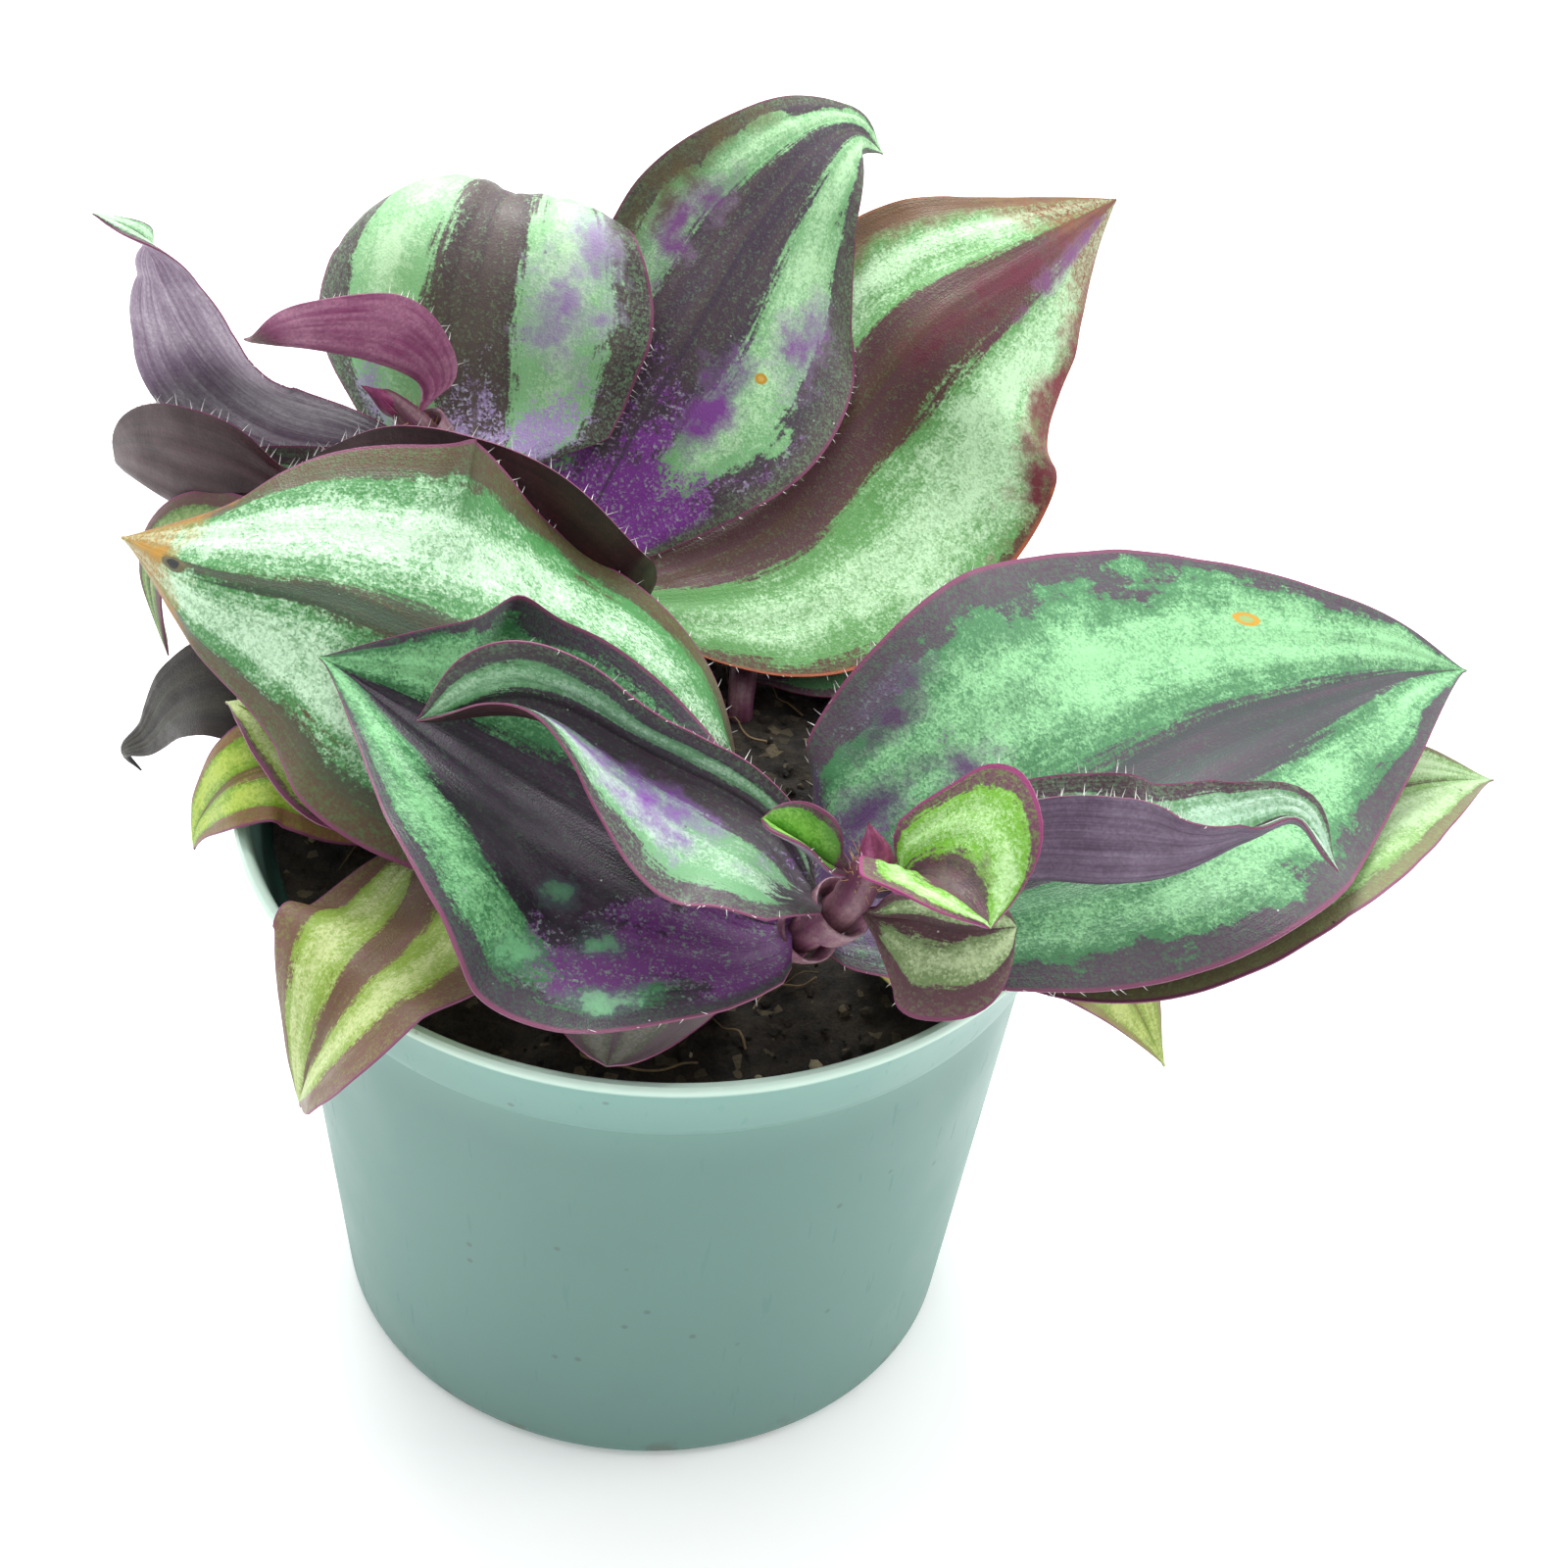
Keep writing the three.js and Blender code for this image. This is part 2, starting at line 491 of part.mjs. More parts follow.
// The sheet gets its thickness along the mean of the normals round each point. Columns
// `from` to `to` of it become one closed geometry.
function thicken(grid, from, to) {
  const rows = grid.length - 1;
  const faceNormal = (i, j) => {
    const a = new THREE.Vector3().subVectors(grid[i + 1][j + 1], grid[i][j]);
    const b = new THREE.Vector3().subVectors(grid[i + 1][j], grid[i][j + 1]);
    return a.cross(b).normalize();
  };
  const positions = [];
  for (const side of [1, -1]) {
    for (let i = 0; i <= rows; i += 1) {
      for (let j = from; j <= to; j += 1) {
        const around = [];
        for (const [di, dj] of [[-1, -1], [-1, 0], [0, -1], [0, 0]]) {
          if (i + di < 0 || i + di >= rows || j + dj < from || j + dj >= to) continue;
          around.push(faceNormal(i + di, j + dj));
        }
        const normal = around.reduce((sum, n) => sum.add(n), new THREE.Vector3()).normalize();
        const least = Math.min(...around.map((n) => n.dot(normal)));
        const reach = (BLADE / 2) / Math.max(least, 0.75);
        positions.push(...grid[i][j].clone().addScaledVector(normal, side * reach).toArray());
      }
    }
  }
  const columns = to - from;
  const stride = columns + 1;
  const half = (rows + 1) * stride;
  const top = (i, j) => i * stride + j;
  const under = (i, j) => half + i * stride + j;
  const index = [];
  const quad = (a, b, c, d) => index.push(a, b, c, b, d, c);
  for (let i = 0; i < rows; i += 1) {
    for (let j = 0; j < columns; j += 1) {
      quad(top(i, j), top(i, j + 1), top(i + 1, j), top(i + 1, j + 1));
      quad(under(i, j), under(i + 1, j), under(i, j + 1), under(i + 1, j + 1));
    }
    quad(top(i, 0), top(i + 1, 0), under(i, 0), under(i + 1, 0));
    quad(top(i, columns), under(i, columns), top(i + 1, columns), under(i + 1, columns));
  }
  for (let j = 0; j < columns; j += 1) {
    quad(top(0, j), under(0, j), top(0, j + 1), under(0, j + 1));
    quad(top(rows, j), top(rows, j + 1), under(rows, j), under(rows, j + 1));
  }
  const geometry = new THREE.BufferGeometry();
  geometry.setAttribute('position', new THREE.BufferAttribute(new Float32Array(positions), 3));
  geometry.setIndex(index);
  return geometry;
}

// A leaf folded sharply along its midrib is two half blades, joined where they meet.
function blade(leaf) {
  const perSide = leaf.perSide ?? (leaf.width < 12 ? 1 : 2);
  const grid = sheet(leaf, leaf.rows ?? (leaf.width < 20 ? 9 : 13), perSide);
  if (!leaf.folded) return solid(thicken(grid, 0, 2 * perSide));
  return solid(thicken(grid, 0, perSide)).add(solid(thicken(grid, perSide, 2 * perSide)));
}

// A leaf's foot wraps its stem as a short closed sleeve.
function sheath(leaf) {
  const { centre, axis } = node(leaf);
  const radius = STEMS[leaf.stem].radius;
  const inner = radius + SLEEVE_PLAY;
  const length = leaf.sleeve ?? SLEEVE_LENGTH;
  const turn = new THREE.Quaternion().setFromUnitVectors(new THREE.Vector3(0, 0, 1), axis);
  const place = new THREE.Matrix4().compose(centre, turn, new THREE.Vector3(1, 1, 1));
  const ring = solid(upright(inner + SLEEVE_WALL, length, SLEEVE_SIDES), place);
  return { ring, bore: solid(upright(inner, length + 12, SLEEVE_SIDES), place) };
}

function leafMesh(leaf) {
  let body = blade(leaf);
  if (leaf.sheath) {
    const { ring, bore } = sheath(leaf);
    body = body.add(ring).subtract(bore);
  }
  return named(leaf.name, body, leafSkin());
}

// ---- the whole ----------------------------------------------------------------
// A shoot's group stands at the foot of its stem.
function shoot(name) {
  const group = new THREE.Group();
  const foot = vector(STEMS[name].points[0]);
  group.position.copy(foot);
  const meshes = [stem(name), ...LEAVES.filter((leaf) => leaf.stem === name).map(leafMesh)];
  for (const mesh of meshes) {
    mesh.geometry.translate(-foot.x, -foot.y, -foot.z);
    group.add(mesh);
  }
  return group;
}

const plant = new THREE.Group();
plant.add(...Object.keys(STEMS).map(shoot));

const planter = new THREE.Group();
planter.add(pot(), soil(Object.values(STEMS)));

const group = new THREE.Group();
group.add(planter, plant);

export default group;
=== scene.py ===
"""Potted tradescantia: a small plastic pot of peat with five striped, hairy shoots."""

import math

import bpy
import numpy as np
from mathutils import Matrix, Vector, noise


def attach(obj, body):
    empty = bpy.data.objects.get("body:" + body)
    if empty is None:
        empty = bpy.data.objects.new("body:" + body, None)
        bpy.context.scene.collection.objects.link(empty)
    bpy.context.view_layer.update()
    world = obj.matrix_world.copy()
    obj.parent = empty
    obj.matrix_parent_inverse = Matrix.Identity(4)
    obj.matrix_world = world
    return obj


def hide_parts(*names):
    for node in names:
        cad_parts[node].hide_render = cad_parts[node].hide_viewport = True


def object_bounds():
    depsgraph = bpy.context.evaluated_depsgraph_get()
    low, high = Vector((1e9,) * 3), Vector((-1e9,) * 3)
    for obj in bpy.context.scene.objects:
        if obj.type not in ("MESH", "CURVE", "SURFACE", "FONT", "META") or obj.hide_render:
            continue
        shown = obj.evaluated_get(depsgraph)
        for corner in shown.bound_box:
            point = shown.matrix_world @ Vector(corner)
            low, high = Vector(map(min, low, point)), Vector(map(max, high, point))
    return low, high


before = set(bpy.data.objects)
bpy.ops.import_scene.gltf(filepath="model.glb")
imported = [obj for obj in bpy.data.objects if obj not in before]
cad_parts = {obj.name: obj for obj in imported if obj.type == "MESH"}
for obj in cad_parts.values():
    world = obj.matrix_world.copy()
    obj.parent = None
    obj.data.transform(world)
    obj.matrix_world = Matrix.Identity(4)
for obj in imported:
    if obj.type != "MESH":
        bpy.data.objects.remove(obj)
cad_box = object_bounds()
MM = 0.001

# ---- Camera, light and floor ---------------------------------------------------------
# A plant on a white sweep, seen from the front and well above with a long lens. The
# white tent round it is brightest above and behind, and two soft boxes add to it.
camera_target = Vector((0.01235, 0.0, 0.0688))
camera_rise = math.radians(40.3)
camera_roll = math.radians(4.3)
camera_away = 0.400
plant_middle = Vector((0.0, 0.0, 0.06))
soft_box_width = 0.40
tent_from_above = 0.40
tent_from_behind = 0.30
tent_darkest = 0.12
tent_brightening = 1.75
floor_size = 6.0
floor_drop = 0.0004
camera_data = bpy.data.cameras.new("camera")
camera_data.sensor_width = 36.0
camera_data.lens = 88.0
camera_data.clip_start = 0.01
camera = bpy.data.objects.new("camera", camera_data)
bpy.context.scene.collection.objects.link(camera)
camera_back = Vector((0.0, -math.cos(camera_rise), math.sin(camera_rise)))
camera.matrix_world = (
    Matrix.Translation(camera_target + camera_back * camera_away)
    @ Matrix.Rotation(math.pi / 2 - camera_rise, 4, "X")
    @ Matrix.Rotation(camera_roll, 4, "Z")
)
bpy.context.scene.camera = camera
bpy.context.scene.view_settings.view_transform = "Standard"


def soft_box(name, place, watts):
    """A square studio light at place that looks at the plant."""
    lamp = bpy.data.lights.new(name, "AREA")
    lamp.shape = "SQUARE"
    lamp.size = soft_box_width
    lamp.energy = watts
    box = bpy.data.objects.new(name, lamp)
    bpy.context.scene.collection.objects.link(box)
    box.location = place
    box.rotation_euler = (plant_middle - Vector(place)).to_track_quat("-Z", "Y").to_euler()


soft_box("soft_box_top", (-0.12, 0.38, 0.70), watts=4.2)
soft_box("soft_box_right", (0.75, 0.10, 0.45), watts=1.5)


def paint(red, green, blue):
    """A paint's colour, given as it looks on a screen from 0 to 255."""
    light = []
    for level in (red, green, blue):
        share = level / 255
        light.append(share / 12.92 if share <= 0.04045 else ((share + 0.055) / 1.055) ** 2.4)
    return (*light, 1.0)


def fit(socket, value):
    """Links value into socket if it is a socket too. Three levels of a colour are painted."""
    if isinstance(value, bpy.types.NodeSocket):
        socket.id_data.links.new(value, socket)
    elif socket.type == "RGBA" and len(value) == 3:
        socket.default_value = paint(*value)
    else:
        socket.default_value = value


def fit_all(node, **inputs):
    """Fits a node's inputs, each by its name."""
    for key, value in inputs.items():
        fit(node.inputs[key.replace("_", " ")], value)
    return node


def put(tree, kind, settings=None, **inputs):
    """Adds a shader node, with its settings and its inputs by name."""
    made = tree.nodes.new("ShaderNode" + kind)
    for key, value in (settings or {}).items():
        setattr(made, key, value)
    return fit_all(made, **inputs)


def calc(operation, *values, clamp=False):
    """One step of arithmetic on numbers and sockets, in the tree of the first socket."""
    tree = next(value.id_data for value in values if isinstance(value, bpy.types.NodeSocket))
    made = tree.nodes.new("ShaderNodeMath")
    made.operation = operation
    made.use_clamp = clamp
    for socket, value in zip(made.inputs, values):
        fit(socket, value)
    return made.outputs[0]


def plus(total, *others):
    """All the values added up."""
    for value in others:
        total = calc("ADD", total, value)
    return total


def times(product, *others):
    """All the values multiplied."""
    for value in others:
        product = calc("MULTIPLY", product, value)
    return product


def minus(first, second):
    """The first value less the second."""
    return calc("SUBTRACT", first, second)


def ramp(value, low, high, to_low=0.0, to_high=1.0, smooth=True):
    """Runs value's stretch from low to high onto to_low to to_high, held at both ends."""
    made = put(
        value.id_data, "MapRange", {"interpolation_type": "SMOOTHSTEP" if smooth else "LINEAR"},
        Value=value, From_Min=low, From_Max=high, To_Min=to_low, To_Max=to_high,
    )
    return made.outputs[0]


def blend(share, first, second):
    """Mixes two colours."""
    made = share.id_data.nodes.new("ShaderNodeMix")
    made.data_type = "RGBA"
    fit(made.inputs[0], share)
    fit(made.inputs[6], first)
    fit(made.inputs[7], second)
    return made.outputs[2]


def own_points(tree):
    """Each point's place on the piece, in metres."""
    return put(tree, "TexCoord").outputs["Object"]


def rough_cloud(points, scale, detail=3.0, roughness=0.55):
    """A cloudy value from 0 to 1."""
    made = put(
        points.id_data, "TexNoise", Vector=points, Scale=scale, Detail=detail, Roughness=roughness
    )
    return made.outputs["Fac"]


def new_finish(name):
    """An empty material and its Principled shader."""
    finish = bpy.data.materials.new(name)
    finish.use_nodes = True
    return finish, finish.node_tree, finish.node_tree.nodes["Principled BSDF"]


def only(piece):
    """Leaves piece as the one selected and active object."""
    bpy.ops.object.select_all(action="DESELECT")
    piece.select_set(True)
    bpy.context.view_layer.objects.active = piece


studio = bpy.data.worlds.new("studio")
studio.use_nodes = True
tent_tree = studio.node_tree
tent_way = put(tent_tree, "NewGeometry").outputs["Position"]
tent_axes = put(tent_tree, "SeparateXYZ", Vector=tent_way).outputs
tent_rise = plus(times(tent_axes[2], tent_from_above), times(tent_axes[1], tent_from_behind))
tent_share = calc("ADD", tent_rise, 0.5, clamp=True)
tent_glow = plus(times(calc("POWER", tent_share, 2.0), tent_brightening), tent_darkest)
seen_straight = put(tent_tree, "LightPath").outputs["Is Camera Ray"]
tent_strength = calc("MAXIMUM", tent_glow, seen_straight)
fit_all(tent_tree.nodes["Background"], Strength=tent_strength, Color=(1.0, 1.0, 1.0, 1.0))
bpy.context.scene.world = studio

bpy.ops.object.select_all(action="DESELECT")
bpy.ops.mesh.primitive_plane_add(size=floor_size, location=(0.0, 0.0, -floor_drop))
floor = bpy.context.object
floor.name = "floor"
only(floor)
bpy.ops.object.transform_apply(location=True, rotation=True, scale=True)
floor_finish, floor_tree, floor_shader = new_finish("white_sweep")
floor_shade = blend(rough_cloud(own_points(floor_tree), 6.0), (250, 251, 251), (253, 254, 254))
fit_all(
    floor_shader, Base_Color=floor_shade, Roughness=0.85,
    Emission_Color=(1.0, 1.0, 1.0, 1.0), Emission_Strength=0.20,
)
floor.data.materials.append(floor_finish)

# ---- Pot -----------------------------------------------------------------------------
# One thin moulding of cloudy grey-green plastic: a flared wall, a rim band that steps
# out near the top, a rolled lip, and six drain holes in the foot.
pot_height = 67.5
rim_radius = 45.0
foot_radius = 34.0
wall_top_radius = 40.4
band_foot = 57.8
drain_circle = 25.0
drain_radius = 2.5
drain_holes = 6
pot_sides = 160


def shaped(name, columns, rows, place):
    """A grid whose corners are moved to place(u, v), which takes and gives arrays."""
    bpy.ops.object.select_all(action="DESELECT")
    bpy.ops.mesh.primitive_grid_add(x_subdivisions=columns, y_subdivisions=rows, size=1.0)
    piece = bpy.context.object
    piece.name = name
    piece.data.name = name
    flat = np.empty(len(piece.data.vertices) * 3)
    piece.data.vertices.foreach_get("co", flat)
    flat = flat.reshape(-1, 3)
    placed = place(flat[:, 0] + 0.5, flat[:, 1] + 0.5)
    piece.data.vertices.foreach_set("co", np.asarray(placed, np.float32).ravel())
    piece.data.update()
    return piece


def close_seams(piece):
    """Joins the corners that lie on each other, and turns the faces outwards."""
    only(piece)
    bpy.ops.object.mode_set(mode="EDIT")
    bpy.ops.mesh.select_all(action="SELECT")
    bpy.ops.mesh.remove_doubles(threshold=1e-6)
    bpy.ops.mesh.normals_make_consistent(inside=False)
    bpy.ops.object.mode_set(mode="OBJECT")


def shade_round(piece, degrees):
    """Smooth shading, but not over edges sharper than that."""
    only(piece)
    bpy.ops.object.shade_smooth_by_angle(angle=math.radians(degrees))


def turned(name, outline, around):
    """A closed outline of (radius, height) in millimetres, turned about the upright axis."""
    outline = np.array(outline, float) * MM

    def place(u, v):
        step = np.rint(v * (len(outline) - 1)).astype(int)
        radius = outline[step, 0]
        return np.stack(
            [radius * np.cos(2 * np.pi * u), radius * np.sin(2 * np.pi * u), outline[step, 1]], 1
        )

    piece = shaped(name, around, len(outline) - 1, place)
    close_seams(piece)
    return piece


wall_steps = [
    (foot_radius + (wall_top_radius - foot_radius) * k / 8, 1.6 + (band_foot - 2.4) * k / 8)
    for k in range(9)
]
inside_steps = [
    (foot_radius - 1 + (wall_top_radius - foot_radius) * k / 6, 1.4 + (band_foot - 2.0) * k / 6)
    for k in range(6, -1, -1)
]
pot_outline = [
    (0, 0.5), (30.2, 0.5), (30.8, 0), (32.6, 0), (33.5, 0.35), (33.9, 0.9),
    *wall_steps,
    (wall_top_radius + 0.1, band_foot - 0.3), (wall_top_radius + 0.9, band_foot - 0.1),
    (wall_top_radius + 1.4, band_foot + 0.3), (42.3, 59.4), (43.3, 62.6), (44.3, 65.6),
    (44.75, 66.2), (rim_radius - 0.02, 66.7), (rim_radius - 0.08, 67.2), (44.7, pot_height),
    (44.2, pot_height - 0.02), (43.85, 67.3), (43.6, 66.9), (43.3, 66.2), (42.2, 62.5),
    (41.1, 59.1), (40.5, 58.3), (wall_top_radius - 0.9, band_foot - 0.6),
    *inside_steps,
    (28.0, 1.4), (0, 1.4),
]
pot = turned("pot_shell", pot_outline, pot_sides)
bpy.ops.object.select_all(action="DESELECT")
for hole in range(drain_holes):
    turn = 2 * math.pi * (hole + 0.5) / drain_holes
    spot = (drain_circle * MM * math.cos(turn), drain_circle * MM * math.sin(turn), 0.001)
    bpy.ops.mesh.primitive_cylinder_add(
        vertices=32, radius=drain_radius * MM, depth=4 * MM, location=spot
    )
    drill = bpy.context.object
    bore = pot.modifiers.new("bore", "BOOLEAN")
    bore.operation = "DIFFERENCE"
    bore.solver = "EXACT"
    bore.object = drill
    only(pot)
    bpy.ops.object.modifier_apply(modifier="bore")
    bpy.data.objects.remove(drill)
shade_round(pot, 32.0)


def cells(points, scale):
    """Small cells: how far each point is from its cell's middle, and three random shares a cell."""
    made = put(points.id_data, "TexVoronoi", Vector=points, Scale=scale)
    luck = put(points.id_data, "SeparateColor", Color=made.outputs["Color"]).outputs
    return made.outputs["Distance"], luck


def flecks(points, scale, middle, rim, strength, rare, draw):
    """Round flecks, full to middle and gone at rim, in the cells whose random draw is over rare."""
    distance, luck = cells(points, scale)
    return times(ramp(distance, middle, rim, strength, 0.0), calc("GREATER_THAN", luck[draw], rare))


def emboss(shader, relief, strength, depth):
    """Bumps the surface up by relief, to depth metres."""
    bump = put(relief.id_data, "Bump", Height=relief, Strength=strength, Distance=depth)
    fit(shader.inputs["Normal"], bump.outputs[0])


pot_finish, pot_tree, pot_shader = new_finish("cloudy_plastic")
pot_points = own_points(pot_tree)
pot_level = put(pot_tree, "SeparateXYZ", Vector=pot_points).outputs[2]
pot_mist = rough_cloud(pot_points, 60.0, 4.0)
pot_grain = rough_cloud(pot_points, 1500.0, 2.0)
pot_shade = blend(pot_mist, (98, 136, 128), (110, 148, 139))
# Painted light: from 50 mm up, the wall and rim band are painted lighter towards the top.
pot_shade = blend(ramp(pot_level, 0.050, 0.066), pot_shade, (126, 168, 158))
# Painted highlight: a whitish line along the top edge of the rolled lip.
pot_shade = blend(ramp(pot_level, 0.0658, 0.0668), pot_shade, (206, 232, 218))
pot_specks = flecks(pot_points, scale=420.0, middle=0.10, rim=0.20, strength=0.45, rare=0.93, draw=0)
pot_shade = blend(pot_specks, pot_shade, (74, 84, 76))
pot_soiled = times(
    ramp(pot_level, 0.0, 0.004, 0.6, 0.0), ramp(rough_cloud(pot_points, 220.0, 5.0), 0.52, 0.62)
)
pot_shade = blend(pot_soiled, pot_shade, (92, 90, 76))
pot_scratch_way = put(
    pot_tree, "Mapping", Vector=pot_points, Rotation=(0.3, 0.25, 0.0), Scale=(1.0, 1.0, 0.06)
)
pot_scratch = ramp(rough_cloud(pot_scratch_way.outputs[0], 900.0, 2.0), 0.66, 0.72)
fit_all(
    pot_shader, Base_Color=pot_shade,
    Roughness=plus(ramp(pot_mist, 0.3, 0.7, 0.36, 0.50), times(pot_scratch, 0.18)),
    Subsurface_Weight=0.25, Subsurface_Radius=(0.0012, 0.0016, 0.0015), Subsurface_Scale=1.0,
)
pot_relief = minus(times(pot_grain, 0.35), times(pot_scratch, 0.6))
emboss(pot_shader, pot_relief, strength=0.25, depth=0.00006)
pot.data.materials.append(pot_finish)
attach(pot, "root")
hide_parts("pot")

# ---- Peat ----------------------------------------------------------------------------
# The root ball is dark potting peat, filled to just under the rim and settled into
# lumps, with loose crumbs, pale root fibres and a few grey bits lying on it.
peat_top = 64.0
peat_edge = 41.3
peat_shoulder = 62.0
peat_foot = 1.75
peat_foot_radius = 33.0
edge_sag = 1.3
lump_height = 0.0011
grain_height = 0.00042
crumb_count = 900
fibre_count = 46


def peat_height(x, y):
    """How high the peat stands at that place, in metres."""
    lumps = noise.fractal(Vector((x * 95, y * 95, 3.1)), 0.9, 2.1, 5)
    grains = noise.fractal(Vector((x * 620, y * 620, 8.7)), 0.7, 2.0, 3)
    away = math.hypot(x, y) / (peat_edge * MM)
    level = (peat_top - edge_sag * max(0.0, away - 0.8) / 0.2) * MM
    return level + lump_height * lumps + grain_height * grains


def place_peat(u, v):
    """The foot, then the side just inside the pot's wall, then the uneven top."""
    placed = []
    for turn, step in zip(u * 2 * math.pi, v):
        if step < 0.12:
            out, high = peat_foot_radius * step / 0.12, peat_foot
        elif step < 0.2:
            share = (step - 0.12) / 0.08
            out = peat_foot_radius + (peat_edge - peat_foot_radius) * share
            high = peat_foot + (peat_shoulder - peat_foot) * share
            out = min(out, 32.6 + 6.7 * (high - peat_foot) / 56)
        else:
            out, high = peat_edge * (1 - (step - 0.2) / 0.8), None
        x, y = out * MM * math.cos(turn), out * MM * math.sin(turn)
        placed.append((x, y, peat_height(x, y) if high is None else high * MM))
    return placed


peat = shaped("peat", 220, 100, place_peat)
close_seams(peat)
shade_round(peat, 60.0)

peat_finish, peat_tree, peat_shader = new_finish("potting_peat")
peat_points = own_points(peat_tree)
peat_lumps = rough_cloud(peat_points, 260.0, 6.0, 0.7)
peat_fine = rough_cloud(peat_points, 2600.0, 4.0, 0.7)
peat_shade = blend(ramp(peat_lumps, 0.35, 0.65), (20, 17, 13), (58, 50, 38))
peat_luck = cells(peat_points, 900.0)[1][0]
peat_shade = blend(ramp(peat_luck, 0.90, 0.98, 0.0, 0.55), peat_shade, (128, 116, 88))
fit_all(peat_shader, Base_Color=peat_shade, Roughness=ramp(peat_fine, 0.3, 0.7, 0.78, 0.98))
emboss(peat_shader, plus(peat_lumps, peat_fine), strength=0.9, depth=0.0007)
peat.data.materials.append(peat_finish)
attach(peat, "root")
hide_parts("soil")


def scattered(name, model, places):
    """Copies the model's mesh to each 4x4 place, and keeps them as one piece."""
    corners = np.array([tuple(c.co) for c in model.data.vertices])
    sides = [tuple(face.vertices) for face in model.data.polygons]
    all_corners = []
    all_sides = []
    for count, place in enumerate(places):
        turned_corners = corners @ np.array(place)[:3, :3].T + np.array(place)[:3, 3]
        all_corners.append(turned_corners)
        all_sides.extend(tuple(k + count * len(corners) for k in side) for side in sides)
    mesh = bpy.data.meshes.new(name)
    mesh.from_pydata(np.concatenate(all_corners).tolist(), [], all_sides)
    piece = bpy.data.objects.new(name, mesh)
    bpy.context.scene.collection.objects.link(piece)
    bpy.data.objects.remove(model)
    return piece


def lump(name, seed):
    """One crumb about a millimetre wide, with an uneven skin."""
    bpy.ops.object.select_all(action="DESELECT")
    bpy.ops.mesh.primitive_ico_sphere_add(subdivisions=1, radius=0.5 * MM)
    piece = bpy.context.object
    piece.name = name
    for corner in piece.data.vertices:
        corner.co *= 1 + 0.45 * noise.noise(corner.co * 1900 + Vector((seed, 0, 0)))
    return piece


peat_draw = np.random.default_rng(11)


def open_peat(reach=0.97):
    """A random place on top of the peat."""
    out = peat_edge * MM * reach * math.sqrt(peat_draw.random())
    turn = 2 * math.pi * peat_draw.random()
    x, y = out * math.cos(turn), out * math.sin(turn)
    return Vector((x, y, peat_height(x, y)))


crumb_places = []
for _ in range(crumb_count):
    wide = 0.5 + 1.5 * peat_draw.random() ** 3
    tilt = Matrix.Rotation(peat_draw.random() * 6.3, 4, "Z")
    tilt = tilt @ Matrix.Rotation(peat_draw.random() * 6.3, 4, "X")
    stretch = Matrix.Diagonal((wide, wide * (0.5 + 0.5 * peat_draw.random()), wide * 0.7, 1.0))
    spot = open_peat() + Vector((0, 0, 0.0001))
    crumb_places.append(Matrix.Translation(spot) @ tilt @ stretch)
crumbs = scattered("peat_crumbs", lump("crumb", 1.0), crumb_places)
crumbs.data.materials.append(peat_finish)
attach(crumbs, "root")


def cloudy_finish(name, dark, pale, scale, dullness, depth=0.0):
    """A finish that clouds from dark to pale, and is uneven by depth metres."""
    finish, tree, shader = new_finish(name)
    mist = rough_cloud(own_points(tree), scale)
    fit_all(shader, Base_Color=blend(mist, dark, pale), Roughness=dullness)
    if depth:
        emboss(shader, mist, strength=1.0, depth=depth)
    return finish


# Each grey bit is turned by an angle that is simply its own x.
grey_places = []
for x, y, wide in (
    (17.5, -36.0, 1.5), (-32, -17, 1.1), (5.0, -35.5, 0.8), (28, 8, 1.2), (-18, 33, 1.0), (33, -12, 0.9),
    (-8, 34, 1.3), (22, 27, 1.0), (-36, -8, 0.9), (-30, 6, 0.8), (12, -38, 0.7), (-12, -32, 0.9),
):
    spot = Vector((x * MM, y * MM, peat_height(x * MM, y * MM) + 0.0003))
    size = Matrix.Diagonal((wide * 1.3, wide, wide * 0.7, 1))
    grey_places.append(Matrix.Translation(spot) @ Matrix.Rotation(x, 4, "Z") @ size)
grey_bits = scattered("grey_bits", lump("grey_bit", 5.0), grey_places)
grey_bits.data.materials.append(
    cloudy_finish("grey_bits", (96, 88, 66), (186, 176, 142), scale=1800.0, dullness=0.9, depth=0.0002)
)
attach(grey_bits, "root")


def smooth_line(points, t):
    """The smooth curve through the points, at t from 0 to 1."""
    points = np.asarray(points, float)
    if points.ndim == 1:
        points = points[:, None]
    last = len(points) - 1
    padded = np.vstack([2 * points[0] - points[1], points, 2 * points[-1] - points[-2]])
    t = np.clip(np.atleast_1d(t), 0, 1) * last
    span = np.minimum(t.astype(int), last - 1)
    w = (t - span)[:, None]
    before, start, end, after = (padded[span + k] for k in range(4))
    leave = (end - before) / 2
    arrive = (after - start) / 2
    return (
        start + leave * w + (-3 * start + 3 * end - 2 * leave - arrive) * w**2
        + (2 * start - 2 * end + leave + arrive) * w**3
    )


def unit(rows):
    """Each row as a direction of length 1."""
    return rows / np.maximum(np.linalg.norm(rows, axis=-1, keepdims=True), 1e-12)


def even_steps(points, v):
    """Places at even steps of length along the smooth curve, and its direction there."""
    t = np.linspace(0, 1, 401)
    trail = smooth_line(points, t)
    length = np.concatenate([[0], np.cumsum(np.linalg.norm(np.diff(trail, axis=0), axis=1))])

    def at(share):
        return smooth_line(points, np.interp(np.clip(share, 0, 1) * length[-1], length, t))

    return at(v), unit(at(v + 0.002) - at(v - 0.002)), length[-1]


